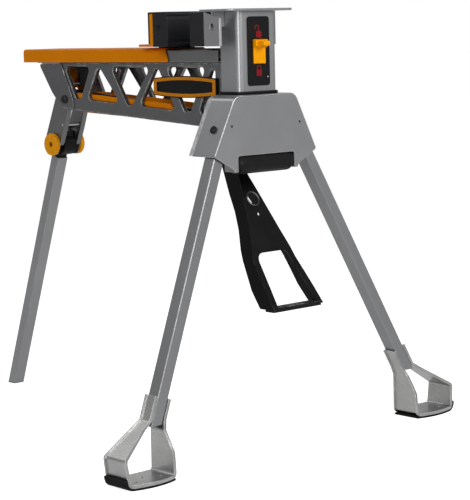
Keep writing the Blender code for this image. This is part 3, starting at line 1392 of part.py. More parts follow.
def leg_bolt(side, word):
    """The pivot bolt, through the housing's side, a washer's gap and the leg."""
    normal = side_place(LEG_NORMAL, side)
    inner = -LEG_WIDTH / 2 - FIT - LEG_BOLT_HEAD_HEIGHT
    wall = (HOUSING_SIDE_Y - LEG_PIVOT.y) * SIDE_COSINE
    outer = wall + 0.0012
    head = LEG_BOLT_HEAD
    profile = [
        (inner, 0.0),
        (inner, head * 0.8),
        (inner + LEG_BOLT_HEAD_HEIGHT, head * 0.8),
        (inner + LEG_BOLT_HEAD_HEIGHT, LEG_BOLT),
        (outer, LEG_BOLT),
        (outer, head),
        (outer + LEG_BOLT_HEAD_HEIGHT * 0.5, head),
        (outer + LEG_BOLT_HEAD_HEIGHT, head * 0.65),
        (outer + LEG_BOLT_HEAD_HEIGHT, 0.0),
    ]
    turned(f"leg_bolt_{word}", profile, side_place(LEG_PIVOT, side), normal, "steel")


def strap_path():
    """The stirrup's outer face in the YZ plane, from its outer tab round to its inner one."""
    half = LEG_WIDTH / 2 + FIT + STRAP
    out = LEG_NORMAL
    outer_top = leg_point(FOOT_OUTER_TOP_Z) + out * half
    outer_shoulder = leg_point(FOOT_SHOULDER_Z) + out * half
    inner_shoulder = leg_point(FOOT_SHOULDER_Z - 0.006) - out * half
    inner_top = leg_point(FOOT_INNER_TOP_Z) - out * half
    corners = [
        (outer_top.y, outer_top.z),
        (outer_shoulder.y, outer_shoulder.z),
        FOOT_ELBOW,
        FOOT_OUTER_CORNER,
        FOOT_INNER_CORNER,
        (inner_shoulder.y, inner_shoulder.z),
        (inner_top.y, inner_top.z),
    ]
    return [Vector(corner) for corner in corners]


def strap_front(y, z):
    """The front edge of the strap: along the leg, out to the elbow, then bowed along the bottom."""
    leg_front = leg_point(max(z, FOOT_SHOULDER_Z)).x + LEG_DEPTH / 2
    if z >= FOOT_SHOULDER_Z:
        return leg_front
    corner_z = FOOT_PLATE_Z
    if z > FOOT_ELBOW[1]:
        share = (FOOT_SHOULDER_Z - z) / (FOOT_SHOULDER_Z - FOOT_ELBOW[1])
        return leg_front + (FOOT_FRONT_ELBOW - leg_front) * share
    share = (FOOT_ELBOW[1] - z) / max(FOOT_ELBOW[1] - corner_z, 1e-6)
    front = FOOT_FRONT_ELBOW + (FOOT_FRONT - FOOT_FRONT_ELBOW) * min(share, 1.0)
    low_y, high_y = FOOT_INNER_CORNER[0], FOOT_OUTER_CORNER[0]
    if z < corner_z + 0.002:
        along = min(max((y - low_y) / (high_y - low_y), 0.0), 1.0)
        front += FOOT_BULGE * 4 * along * (1 - along)
    return front


def strap_rear(z):
    leg_rear = leg_point(max(z, FOOT_SHOULDER_Z)).x - LEG_DEPTH / 2
    if z >= FOOT_SHOULDER_Z:
        return leg_rear
    return min(leg_rear, FOOT_REAR)


def densified(path, longest):
    dense = [path[0]]
    for before, after in zip(path, path[1:]):
        pieces = max(1, math.ceil((after - before).length / longest))
        dense += [before.lerp(after, step / pieces) for step in range(1, pieces + 1)]
    return dense


def stirrup(side, word):
    """A pressed strap with raised rims, bent into a loop under the leg."""
    path = densified(filleted_path(strap_path(), FOOT_BEND), 0.020)
    inner = offset_path(path, -STRAP)
    rim = offset_path(path, FOOT_RIM)
    bm = bmesh.new()
    sections = []
    for outside, inside, proud in zip(path, inner, rim):
        front = strap_front(outside.x, outside.y)
        rear = strap_rear(outside.y)
        ring = [
            (rear, inside),
            (rear, proud),
            (rear + FOOT_RIM_WIDTH, proud),
            (rear + FOOT_RIM_WIDTH, outside),
            (front - FOOT_RIM_WIDTH, outside),
            (front - FOOT_RIM_WIDTH, proud),
            (front, proud),
            (front, inside),
        ]
        sections.append([bm.verts.new(Vector((x, side * place.x, place.y))) for x, place in ring])
    for first, second in zip(sections, sections[1:]):
        join_loops(bm, first, second)
    bm.faces.new(sections[0])
    bm.faces.new(sections[-1])
    holder = f"leg_axis_{word}"
    piece = finish(f"foot_stirrup_{word}", bm, "silver_paint", holder)
    floor_z = FOOT_OUTER_CORNER[1]
    middle_y = (FOOT_INNER_CORNER[0] + FOOT_OUTER_CORNER[0]) / 2
    middle_x = (FOOT_REAR + FOOT_FRONT) / 2
    front_x = middle_x + 0.02
    for x, y in ((middle_x, middle_y), (front_x, middle_y - 0.03), (front_x, middle_y + 0.03)):
        drill(piece, (x, side * y, floor_z), (0, 0, 1), FOOT_HOLE, 0.02, holder, 8)
    return piece


def sole(side, word):
    """The rubber sole under the stirrup, turned up over its outer corner."""
    path = strap_path()
    corner = Vector(FOOT_OUTER_CORNER)
    up = (Vector(FOOT_ELBOW) - corner).normalized()
    lip = corner + up * (SOLE_LIP_Z - FOOT_PLATE_Z)
    run = filleted_path([lip, corner, path[4]], FOOT_BEND)
    top = offset_path(run, FOOT_RIM + FIT)
    dense = densified(top, 0.020)
    bm = bmesh.new()
    sections = []
    for upper, lower in zip(dense, offset_path(dense, SOLE)):
        front = strap_front(min(upper.x, FOOT_OUTER_CORNER[0]), FOOT_OUTER_CORNER[1])
        rear = FOOT_REAR
        ring = [(rear, upper), (rear, lower), (front, lower), (front, upper)]
        sections.append([bm.verts.new(Vector((x, side * place.x, place.y))) for x, place in ring])
    for first, second in zip(sections, sections[1:]):
        join_loops(bm, first, second)
    bm.faces.new(sections[0])
    bm.faces.new(sections[-1])
    return finish(f"foot_sole_{word}", bm, "black_rubber", f"leg_axis_{word}")


# Rear bracket and rear leg


def bracket_line(z, offset):
    """X of a line parallel to the bracket, at a distance in X from its front edge."""
    front = HUB_X + BRACKET_FRONT_GAP - BRACKET_LEAN * (HUB_Z - z)
    return front - offset


def rear_bracket():
    """A channel open to the front, whose turned-in lips let the leg swing through between them."""
    half = BRACKET_HALF_Y
    ear_x, ear_z = BRACKET_PIVOT
    top = BRACKET_TOP_Z
    low = BRACKET_END_Z
    side = [
        (bracket_line(low, 0.004), low),
        (bracket_line(low + 0.06, 0.0), low + 0.06),
        (bracket_line(ear_z - 0.026, 0.0), ear_z - 0.026),
        (ear_x + BRACKET_EAR, ear_z - BRACKET_EAR),
        (ear_x + BRACKET_EAR, ear_z + 0.012),
        (bracket_line(top, BRACKET_DEPTH - 0.008), top),
        (bracket_line(low + 0.03, BRACKET_DEPTH), low + 0.03),
        (bracket_line(low, BRACKET_DEPTH - 0.016), low),
    ]
    outline = turned_ccw(filleted(side, [0.012, 0, 0.004, 0.010, 0.010, 0.006, 0.010, 0.012]))
    bracket = prism("rear_bracket", outline, "Y", -half, half, "silver_paint")
    inner = half - SHEET
    reach = BRACKET_DEPTH - SHEET * 1.08
    hollow = [
        (bracket_line(low - 0.02, SHEET), low - 0.02),
        (bracket_line(ear_z - 0.020, SHEET), ear_z - 0.020),
        (bracket_line(ear_z - 0.020, -0.08), ear_z - 0.020),
        (bracket_line(top + 0.02, -0.08), top + 0.02),
        (bracket_line(top + 0.02, reach), top + 0.02),
        (bracket_line(BRACKET_WEB_Z, reach), BRACKET_WEB_Z),
        (bracket_line(BRACKET_WEB_Z, reach + 0.02), BRACKET_WEB_Z),
        (bracket_line(low - 0.02, reach + 0.02), low - 0.02),
    ]
    cut(bracket, prism("bracket_hollow", turned_ccw(hollow), "Y", -inner, inner, "steel"))
    slot_half = half - BRACKET_LIP
    slot = [
        (bracket_line(low - 0.02, -0.03), low - 0.02),
        (bracket_line(ear_z, -0.03), ear_z),
        (bracket_line(ear_z, 0.02), ear_z),
        (bracket_line(low - 0.02, 0.02), low - 0.02),
    ]
    cut(bracket, prism("bracket_slot", turned_ccw(slot), "Y", -slot_half, slot_half, "steel"))
    drill(bracket, (ear_x, 0.0, ear_z), (0, 1, 0), BRACKET_BOLT + FIT, 4 * half)
    cross = (bracket_line(CROSS_PIN_Z, CROSS_PIN_INSET), 0.0, CROSS_PIN_Z)
    drill(bracket, cross, (0, 1, 0), CROSS_PIN + FIT, 4 * half, count=12)
    return drill(bracket, HUB, (0, 1, 0), KNOB_SHANK + FIT, 4 * half)


def bracket_fixings():
    ear_x, ear_z = BRACKET_PIVOT
    centre = (ear_x, 0.0, ear_z)
    length = 2 * (PLATE_HALF_Y + SHEET + 2 * FIT)
    profile = bolt_profile(length, BRACKET_BOLT, BRACKET_BOLT_HEAD, BRACKET_BOLT_HEAD_HEIGHT)
    turned("bracket_bolt", profile, centre, (0, 1, 0), "steel")
    bore = BRACKET_BOLT + FIT
    for word, side in (("left", 1), ("right", -1)):
        near = BRACKET_HALF_Y + FIT
        far = CHANNEL_HALF_Y - SHEET - FIT
        profile = [(near, bore), (near, bore + 0.004), (far, bore + 0.004), (far, bore), (near, bore)]
        turned(f"bracket_spacer_{word}", profile, centre, (0, side, 0), "steel", count=12)
    half = BRACKET_HALF_Y - FIT
    profile = [(-half, 0.0), (-half, CROSS_PIN), (half, CROSS_PIN), (half, 0.0)]
    cross = (bracket_line(CROSS_PIN_Z, CROSS_PIN_INSET), 0.0, CROSS_PIN_Z)
    turned("bracket_cross_pin", profile, cross, (0, 1, 0), "silver_paint", count=12)


def along_leg(distance, across):
    """A point of the rear leg, from the hub's height down its length and across its depth."""
    forward = Vector((-REAR_LEG_DIRECTION.z, 0.0, REAR_LEG_DIRECTION.x))
    start = Vector((REAR_LEG_X, 0.0, HUB_Z))
    return start + REAR_LEG_DIRECTION * distance + forward * across


def rear_leg_hub():
    """The moulded hub that the tube plugs on to, with a tail that stops it against the bracket."""
    half = HUB_HALF_Y
    tail = math.atan2(1.0, BRACKET_LEAN)
    points = []
    for index in range(20):
        angle = 2 * math.pi * index / 20
        points.append(Vector((HUB_X + HUB_RADIUS * math.cos(angle), HUB_Z + HUB_RADIUS * math.sin(angle))))
    outline = turned_ccw(points)
    hub = prism("rear_leg_hub", outline, "Y", -half, half, "black_plastic", "rear_leg_axis", smooth=True)
    direction = Vector((math.cos(tail), math.sin(tail)))
    across = Vector((direction.y, -direction.x))
    centre = Vector((HUB_X, HUB_Z))
    block = [
        centre - across * 0.014,
        centre + across * 0.014,
        centre + direction * HUB_TAIL + across * 0.010,
        centre + direction * HUB_TAIL - across * 0.010,
    ]
    tail_block = prism("hub_tail", turned_ccw(block), "Y", -half, half, "steel", "rear_leg_axis")
    cut(hub, tail_block, "UNION")
    inner = REAR_LEG_DEPTH / 2 - TUBE_WALL - PLUG_EASE
    places = ((0.0, -inner), (0.0, inner), (0.055, inner), (0.055, -inner))
    spigot = [along_leg(distance, across) for distance, across in places]
    outline = turned_ccw([Vector((point.x, point.z)) for point in spigot])
    wide = REAR_LEG_WIDTH / 2 - TUBE_WALL - PLUG_EASE
    cut(hub, prism("hub_spigot", outline, "Y", -wide, wide, "steel", "rear_leg_axis"), "UNION")
    return drill(hub, HUB, (0, 1, 0), HUB_AXLE + FIT, 4 * half, "rear_leg_axis")


def rear_leg_tube():
    """A square tube that leans back to the floor, cut level at its foot."""
    bm = bmesh.new()
    top_distance = HUB_RADIUS + 0.006
    half_x = REAR_LEG_DEPTH / 2
    half_y = REAR_LEG_WIDTH / 2
    outer = filleted(rectangle((-half_x, -half_y), (half_x, half_y)), LEG_CORNER, 2)
    bore = [
        Vector((x * (1 - 2 * TUBE_WALL / REAR_LEG_DEPTH), y * (1 - 2 * TUBE_WALL / REAR_LEG_WIDTH)))
        for x, y in outer
    ]
    foot_z = REAR_LEG_CAP_WALL + FIT
    rings = []
    for outline in (outer, bore):
        top = []
        foot = []
        for across, y in outline:
            start = along_leg(top_distance, across)
            reach = (start.z - foot_z) / -REAR_LEG_DIRECTION.z
            end = start + REAR_LEG_DIRECTION * reach
            top.append(bm.verts.new(Vector((start.x, y, start.z))))
            foot.append(bm.verts.new(Vector((end.x, y, end.z))))
        rings.append((top, foot))
    (outer_top, outer_foot), (bore_top, bore_foot) = rings
    join_loops(bm, outer_top, outer_foot)
    join_loops(bm, bore_foot, bore_top)
    join_loops(bm, bore_top, outer_top)
    join_loops(bm, outer_foot, bore_foot)
    return finish("rear_leg_tube", bm, "silver_paint", "rear_leg_axis")


def rear_leg_cap():
    """The plug in the foot of the rear leg, flush with the floor."""
    slope = math.hypot(1, REAR_LEG_SLOPE)
    half_x = REAR_LEG_DEPTH / 2 * slope
    half_y = REAR_LEG_WIDTH / 2
    middle = REAR_LEG_FOOT_X
    base = rectangle((middle - half_x, -half_y), (middle + half_x, half_y))
    outline = filleted(base, LEG_CORNER, 2)
    cap = prism("rear_leg_cap", outline, "Z", 0.0, REAR_LEG_CAP_WALL, "black_rubber", "rear_leg_axis")
    inset = TUBE_WALL + PLUG_EASE
    lean = REAR_LEG_SLOPE
    plug = []
    for z in (0.0005, REAR_LEG_CAP):
        for edge in (-1, 1):
            plug.append(Vector((middle + lean * z + edge * (half_x - inset * slope), z)))
    outline = turned_ccw([plug[0], plug[1], plug[3], plug[2]])
    wide = half_y - inset
    return cut(cap, prism("cap_plug", outline, "Y", -wide, wide, "steel", "rear_leg_axis"), "UNION")


def knob(side, word):
    """A lobed knob with a sunk centre, on a shank through the bracket's side."""
    near = BRACKET_HALF_Y + FIT
    far = near + KNOB_WIDTH
    holder = f"knob_slide_{word}"
    outline = []
    count = KNOB_LOBES * 3
    for index in range(count):
        angle = 2 * math.pi * index / count
        radius = KNOB_RADIUS - 0.0009 * (1 - math.cos(KNOB_LOBES * angle))
        outline.append(Vector((HUB_X + radius * math.cos(angle), HUB_Z + radius * math.sin(angle))))
    low, high = sorted((side * near, side * far))
    piece = prism(f"release_knob_{word}", turned_ccw(outline), "Y", low, high, "orange_plastic", holder)
    soften(piece, 0.0015, 1, 60)
    shank_end = HUB_HALF_Y + FIT
    profile = [(shank_end, 0.0), (shank_end, KNOB_SHANK), (near + 0.001, KNOB_SHANK), (near + 0.001, 0.0)]
    cut(piece, turned(f"knob_shank_{word}", profile, HUB, (0, side, 0), "steel", holder), "UNION")
    recess = (HUB_X, side * far, HUB_Z)
    drill(piece, recess, (0, 1, 0), KNOB_RECESS, 2 * KNOB_RECESS_DEPTH, holder)
    depth = 2 * (far - KNOB_RECESS_DEPTH - 0.002)
    return drill(piece, HUB, (0, 1, 0), HUB_AXLE + FIT, depth, holder)


def hub_axle():
    half = BRACKET_HALF_Y + FIT + KNOB_WIDTH - KNOB_RECESS_DEPTH - 0.0025 - FIT
    profile = [(-half, 0.0), (-half, HUB_AXLE), (half, HUB_AXLE), (half, 0.0)]
    return turned("hub_axle", profile, HUB, (0, 1, 0), "steel")


# Pedal


def pedal_arm():
    """A tapering pressed lever: a channel, web to the front, which opens into a fork for the tread."""
    bm = bmesh.new()
    rings = []
    wall = PEDAL_SHEET
    for z, half, front, rear in PEDAL_STATIONS:
        ring = [
            (rear, half),
            (front, half),
            (front, -half),
            (rear, -half),
            (rear, -half + wall),
            (front - wall, -half + wall),
            (front - wall, half - wall),
            (rear, half - wall),
        ]
        rings.append([bm.verts.new(Vector((x, y, z))) for x, y in ring])
    for first, second in zip(rings, rings[1:]):
        join_loops(bm, first, second)
    bm.faces.new(rings[0])
    bm.faces.new(rings[-1])
    pedal = finish("pedal_lever", bm, "black_paint", "pedal_axis")
    foot_half = PEDAL_STATIONS[-1][1] - 0.0115
    web_half = PEDAL_STATIONS[5][1] - 0.0125
    window = [
        Vector((-web_half, PEDAL_WEB_END)),
        Vector((web_half, PEDAL_WEB_END)),
        Vector((foot_half, PEDAL_STATIONS[-1][0] - 0.02)),
        Vector((-foot_half, PEDAL_STATIONS[-1][0] - 0.02)),
    ]
    outline = turned_ccw(filleted(window, [0.014, 0.014, 0, 0]))
    cut(pedal, prism("pedal_window", outline, "X", -0.02, 0.2, "steel", "pedal_axis"))
    seat_half = PEDAL_STATIONS[-1][1] - wall
    seat_front = TREAD_FRONT - wall
    seat = rectangle((seat_front - TREAD_DEPTH - 2 * FIT, -seat_half), (seat_front, seat_half))
    top = TREAD_BOTTOM_Z + TREAD_HEIGHT + FIT
    cut(pedal, prism("pedal_tread_seat", seat, "Z", TREAD_BOTTOM_Z - 0.01, top, "steel", "pedal_axis"))
    hole = circle((0.0, PEDAL_HOLE_Z), PEDAL_HOLE[0], 14, PEDAL_HOLE[1] / PEDAL_HOLE[0])
    cut(pedal, prism("pedal_oval_hole", hole, "X", -0.03, 0.06, "steel", "pedal_axis"))
    small = circle((0.0, PEDAL_SMALL_HOLE_Z), 0.003, 10)
    cut(pedal, prism("pedal_small_hole", small, "X", -0.03, 0.06, "steel", "pedal_axis"))
    half = PEDAL_STATIONS[0][1]
    base = PEDAL_STATIONS[0][0] - 0.012
    arm = [
        (PEDAL_PIVOT_X - 0.014, base),
        (PEDAL_PIVOT_X + 0.014, base),
        (PEDAL_PIVOT_X + PEDAL_ARM_HALF_X, ROD_FRONT_Z),
        (PEDAL_PIVOT_X + PEDAL_ARM_HALF_X, ROD_FRONT_Z + PEDAL_ARM_HALF_X),
        (PEDAL_PIVOT_X - PEDAL_ARM_HALF_X, ROD_FRONT_Z + PEDAL_ARM_HALF_X),
        (PEDAL_PIVOT_X - PEDAL_ARM_HALF_X, ROD_FRONT_Z),
    ]
    outline = turned_ccw(filleted(arm, [0, 0, 0.01, 0.005, 0.005, 0.01]))
    for side in (-1, 1):
        low, high = sorted((side * half, side * (half - wall)))
        cut(pedal, prism(f"pedal_arm_{side}", outline, "Y", low, high, "steel", "pedal_axis"), "UNION")
    drill(pedal, PEDAL_PIVOT, (0, 1, 0), PEDAL_PIN + FIT, 4 * half, "pedal_axis", 12)
    link = (PEDAL_PIVOT_X, 0.0, ROD_FRONT_Z)
    return drill(pedal, link, (0, 1, 0), PEDAL_LINK_PIN + FIT, 4 * half, "pedal_axis", 12)


def pedal_tread():
    """The ribbed bar that the foot presses, between the ends of the fork."""
    half = PEDAL_STATIONS[-1][1] - PEDAL_SHEET - FIT
    rear = TREAD_FRONT - PEDAL_SHEET - FIT - TREAD_DEPTH
    front = TREAD_FRONT - PEDAL_SHEET - FIT
    top = TREAD_BOTTOM_Z + TREAD_HEIGHT
    points = [Vector((front, TREAD_BOTTOM_Z))]
    pitch = TREAD_DEPTH / TREAD_RIBS
    for rib in range(TREAD_RIBS):
        start = front - rib * pitch
        points += [
            Vector((start, top)),
            Vector((start - pitch * 0.55, top)),
            Vector((start - pitch * 0.55, top - TREAD_RIB)),
            Vector((start - pitch, top - TREAD_RIB)),
        ]
    points.append(Vector((rear, TREAD_BOTTOM_Z)))
    return prism("pedal_tread", turned_ccw(points), "Y", -half, half, "black_plastic", "pedal_axis")


def pedal_fixings():
    """The pedal's bracket on the column, its pivot pin, its link pin and its return spring."""
    half = PEDAL_STATIONS[0][1]
    near = half + 0.003
    reach = COLUMN_HALF_X + FIT
    for word, side in (("left", 1), ("right", -1)):
        outline = [
            (-reach, PEDAL_BRACKET_FOOT_Z + 0.022),
            (-reach, plate_bottom(-reach) + 0.040),
            (PEDAL_BRACKET_REAR + 0.012, plate_bottom(-reach) + 0.040),
            (PEDAL_BRACKET_REAR, PEDAL_PIVOT_Z + 0.004),
            (PEDAL_BRACKET_REAR + 0.003, PEDAL_BRACKET_FOOT_Z),
            (PEDAL_PIVOT_X + 0.012, PEDAL_BRACKET_FOOT_Z),
        ]
        placed = turned_ccw(filleted(outline, [0.002, 0.002, 0.006, 0.006, 0.006, 0.008]))
        spread = near + (SPRING_TURNS + 1.5) * SPRING_PITCH if side > 0 else near
        low, high = sorted((side * spread, side * (spread + PEDAL_BRACKET_SHEET)))
        cheek = prism(f"pedal_bracket_{word}", placed, "Y", low, high, "silver_paint")
        drill(cheek, PEDAL_PIVOT, (0, 1, 0), PEDAL_PIN + FIT, 0.12, count=12)
    right_end = near + PEDAL_BRACKET_SHEET + 0.001
    left_end = near + (SPRING_TURNS + 1.5) * SPRING_PITCH + PEDAL_BRACKET_SHEET + 0.001
    head = PEDAL_PIN * 1.5
    profile = [
        (-right_end - 0.003, 0.0),
        (-right_end - 0.003, head),
        (-right_end, head),
        (-right_end, PEDAL_PIN),
        (left_end, PEDAL_PIN),
        (left_end, head),
        (left_end + 0.003, head),
        (left_end + 0.003, 0.0),
    ]
    turned("pedal_pivot_pin", profile, PEDAL_PIVOT, (0, 1, 0), "steel", count=12)
    profile = bolt_profile(2 * (half + FIT), PEDAL_LINK_PIN, PEDAL_LINK_PIN * 1.5, 0.0015)
    turned("pedal_link_pin", profile, (PEDAL_PIVOT_X, 0.0, ROD_FRONT_Z), (0, 1, 0), "steel", "pedal_axis", 12)
    return_spring(near)


def return_spring(near):
    """A torsion spring round the pivot pin, beside the pedal, with one leg against the column."""
    first_y = near + SPRING_PITCH * 0.75
    points = []
    steps = SPRING_TURNS * SPRING_POINTS
    for step in range(steps + 1):
        angle = 2 * math.pi * step / SPRING_POINTS
        x = PEDAL_PIVOT_X + SPRING_COIL_RADIUS * math.sin(angle)
        z = PEDAL_PIVOT_Z + SPRING_COIL_RADIUS * math.cos(angle)
        points.append((x, first_y + SPRING_PITCH * step / SPRING_POINTS, z))
    last_y = points[-1][1]
    points.append((PEDAL_PIVOT_X + 0.020, last_y, PEDAL_PIVOT_Z + SPRING_COIL_RADIUS))
    points.append((-COLUMN_HALF_X - SPRING_WIRE - 0.001, last_y, PEDAL_PIVOT_Z + SPRING_COIL_RADIUS + 0.004))
    least = min(
        math.dist(first, second) - 2 * SPRING_WIRE
        for index, first in enumerate(points)
        for second in points[index + SPRING_POINTS // 2 :]
    )
    print(f"pedal_return_spring: least gap to itself {least * 1000:.2f} mm")
    curve = bpy.data.curves.new("pedal_return_spring", "CURVE")
    curve.dimensions = "3D"
    curve.bevel_depth = SPRING_WIRE
    curve.bevel_resolution = 1
    curve.use_fill_caps = True
    spline = curve.splines.new("POLY")
    spline.points.add(len(points) - 1)
    empty, place = holders["stand"]
    for target, point in zip(spline.points, points):
        target.co = (*(Vector(point) - place), 1.0)
    spring = bpy.data.objects.new("pedal_return_spring", curve)
    spring.data.materials.append(material("steel"))
    bpy.context.scene.collection.objects.link(spring)
    spring.parent = empty


def build():
    clear_scene()
    add_holder("stand")
    add_holder("jaw_slide")
    add_holder("drive_slide")
    add_holder("lock_rod_slide")
    add_holder("lock_dog_axis", (LOCK_DOG_X, 0.0, LOCK_PIVOT_Z))
    add_holder("rocker_axis", ROCKER_PIVOT)
    add_holder("roller_axis", (ROLLER_X, 0.0, ROLLER_Z))
    add_holder("rear_leg_axis", HUB)
    add_holder("pedal_axis", PEDAL_PIVOT)
    for side, word in ((1, "left"), (-1, "right")):
        add_holder(f"leg_axis_{word}", side_place(LEG_PIVOT, side))
        add_holder(f"knob_slide_{word}", HUB)

    for side in (1, -1):
        truss_plate_piece = truss_plate(side)
        hole = (BRACKET_PIVOT[0], PLATE_HALF_Y * side, BRACKET_PIVOT[1])
        drill(truss_plate_piece, hole, (0, 1, 0), BRACKET_BOLT + FIT, 0.02)
        end_doubler(side)
        gusset(side)
    top_beam()
    bottom_channel()
    end_wall()
    badge()

    column_tube()
    collar()
    top_plate()
    fixed_jaw_bracket()
    jaw_pad("fixed_jaw_pad", FIXED_PAD_BACK, FIXED_PAD, JAW_BOTTOM_Z, TOP_PLATE_Z - FIT, -1, "stand")
    bezel()
    rocker()

    slide_rail()
    moving_jaw_bracket()
    hood = hood_outline()
    jaw_pad("moving_jaw_pad", MOVING_PAD_BACK, MOVING_PAD, JAW_BOTTOM_Z, MOVING_PAD_TOP, 1, "jaw_slide", hood)
    jaw_spacer()
    jaw_screws()
    draw_bar()

    drive_dog()
    pull_rod()
    lock_dog()
    lock_dog_pin()
    lock_rod()

    housing_front_shell()
    housing_rear_shell()
    roller()
    for side, word in ((1, "left"), (-1, "right")):
        leg_tube(side, word)
        leg_bolt(side, word)
        stirrup(side, word)
        sole(side, word)
        knob(side, word)
    rear_bracket()
    bracket_fixings()
    rear_leg_hub()
    rear_leg_tube()
    rear_leg_cap()
    hub_axle()

    pedal_arm()
    pedal_tread()
    pedal_fixings()


build()
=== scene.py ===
"""Looks of the clamping work stand: finishes, rounded edges, small fittings, floor, light and camera."""

import json
import math

import bmesh
import bpy
from mathutils import Matrix, Vector

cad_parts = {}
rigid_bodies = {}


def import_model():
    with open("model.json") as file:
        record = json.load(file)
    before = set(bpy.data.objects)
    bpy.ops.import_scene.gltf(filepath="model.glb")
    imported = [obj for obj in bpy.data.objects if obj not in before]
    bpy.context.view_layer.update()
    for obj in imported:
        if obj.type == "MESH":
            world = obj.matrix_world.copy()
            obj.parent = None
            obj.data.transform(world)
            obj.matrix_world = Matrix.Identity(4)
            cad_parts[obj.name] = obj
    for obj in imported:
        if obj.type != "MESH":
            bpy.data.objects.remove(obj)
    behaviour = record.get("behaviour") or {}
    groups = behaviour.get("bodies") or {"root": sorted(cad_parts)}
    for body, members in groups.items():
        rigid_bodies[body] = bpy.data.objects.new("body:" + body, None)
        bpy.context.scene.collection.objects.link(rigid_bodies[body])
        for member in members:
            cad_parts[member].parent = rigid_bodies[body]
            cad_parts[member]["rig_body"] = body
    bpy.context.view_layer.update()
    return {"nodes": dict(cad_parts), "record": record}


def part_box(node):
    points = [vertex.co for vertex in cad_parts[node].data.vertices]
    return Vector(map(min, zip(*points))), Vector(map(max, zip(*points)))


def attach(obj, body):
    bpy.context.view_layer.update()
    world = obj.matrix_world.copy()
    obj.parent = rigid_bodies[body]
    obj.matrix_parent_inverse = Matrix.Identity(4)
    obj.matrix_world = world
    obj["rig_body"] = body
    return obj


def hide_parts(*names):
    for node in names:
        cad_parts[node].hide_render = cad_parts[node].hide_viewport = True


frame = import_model()
nodes = frame["nodes"]

# Camera, solved from the photograph's straight edges
CAMERA_PLACE = Vector((2.917108, -2.396587, 0.841395))
CAMERA_AZIMUTH = 47.488
CAMERA_ELEVATION = 7.347
CAMERA_ROLL = -1.357
CAMERA_LENS = 125.19
SENSOR = 36.0


# Working by hand


def stop_editing():
    if bpy.context.mode != "OBJECT":
        bpy.ops.object.mode_set(mode="OBJECT")


def pick_only(piece):
    stop_editing()
    bpy.ops.object.select_all(action="DESELECT")
    piece.select_set(True)
    bpy.context.view_layer.objects.active = piece


def start_editing(piece, elements="FACE"):
    pick_only(piece)
    bpy.ops.object.mode_set(mode="EDIT")
    bpy.ops.mesh.select_mode(type=elements)
    bpy.ops.mesh.select_all(action="DESELECT")


def pick_faces(piece, wanted):
    """Selects the faces whose middle and normal pass the test."""
    mesh = bmesh.from_edit_mesh(piece.data)
    for face in mesh.faces:
        face.select_set(wanted(face.calc_center_median(), face.normal))
    mesh.select_flush_mode()
    bmesh.update_edit_mesh(piece.data)


def settle(piece, name):
    """Names a piece and puts its place into its mesh."""
    pick_only(piece)
    bpy.ops.object.transform_apply(location=True, rotation=True, scale=True)
    piece.name = name
    piece.data.name = name
    return piece


def round_edges(piece, width, segments=2, angle=32.0):
    pick_only(piece)
    edge = piece.modifiers.new("rounded_edges", "BEVEL")
    edge.width = width
    edge.segments = segments
    edge.limit_method = "ANGLE"
    edge.angle_limit = math.radians(angle)
    edge.miter_outer = "MITER_ARC"
    bpy.ops.object.modifier_apply(modifier=edge.name)
    return piece


def smooth(piece, angle=38.0):
    pick_only(piece)
    bpy.ops.object.shade_smooth_by_angle(angle=math.radians(angle))
    return piece


def even_shading(piece):
    """Lets large faces keep their own normals, so that rounded edges don't shade across them."""
    pick_only(piece)
    weighted = piece.modifiers.new("even_shading", "WEIGHTED_NORMAL")
    weighted.mode = "FACE_AREA"
    weighted.weight = 100
    weighted.keep_sharp = True
    bpy.ops.object.modifier_apply(modifier=weighted.name)
    return piece


def give(piece, finish, body):
    """Puts a finish on a new piece and lets it ride on its body."""
    piece.data.materials.clear()
    piece.data.materials.append(finish)
    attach(piece, body)
    return piece


def finished_copy(node, width, finish, smoothing=38.0, segments=2):
    """A copy of a CAD piece, merged and with its sharp edges broken, that shows in its place."""
    source = nodes[node]
    piece = bpy.data.objects.new(f"{node}_finished", source.data.copy())
    bpy.context.scene.collection.objects.link(piece)
    start_editing(piece)
    bpy.ops.mesh.select_all(action="SELECT")
    bpy.ops.mesh.remove_doubles(threshold=0.00001)
    bpy.ops.mesh.dissolve_limited(angle_limit=math.radians(0.4))
    stop_editing()
    if width:
        round_edges(piece, width, segments)
    smooth(piece, smoothing)
    even_shading(piece)
    give(piece, finish, source["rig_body"])
    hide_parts(node)
    return piece


# Finishes

DUST_COLOUR = (0.46, 0.43, 0.38, 1.0)
# Light colour of zinc edges, partly rubbed bare and partly a painted highlight
ZINC_EDGE_WEAR_AND_HIGHLIGHT = (0.85, 0.85, 0.84, 1.0)


def wire(tree, output, target):
    tree.links.new(output, target)


def add_node(tree, kind, **settings):
    node = tree.nodes.new(kind)
    for key, value in settings.items():
        setattr(node, key, value)
    return node


def group_with(name, inputs, outputs):
    """An empty shader group with its named sockets."""
    group = bpy.data.node_groups.new(name, "ShaderNodeTree")
    for label, kind, value in inputs:
        socket = group.interface.new_socket(label, in_out="INPUT", socket_type=kind)
        if value is not None:
            socket.default_value = value
    for label, kind in outputs:
        group.interface.new_socket(label, in_out="OUTPUT", socket_type=kind)
    start = group.nodes.new("NodeGroupInput")
    end = group.nodes.new("NodeGroupOutput")
    return group, start, end


def noise(tree, place, scale, detail=3.0, roughness=0.55):
    texture = add_node(tree, "ShaderNodeTexNoise")
    texture.inputs["Scale"].default_value = scale
    texture.inputs["Detail"].default_value = detail
    texture.inputs["Roughness"].default_value = roughness
    wire(tree, place, texture.inputs["Vector"])
    return texture


def ranged(tree, value, low, high, to_low, to_high):
    span = add_node(tree, "ShaderNodeMapRange", clamp=True)
    wire(tree, value, span.inputs["Value"])
    span.inputs["From Min"].default_value = low
    span.inputs["From Max"].default_value = high
    span.inputs["To Min"].default_value = to_low
    span.inputs["To Max"].default_value = to_high
    return span.outputs["Result"]


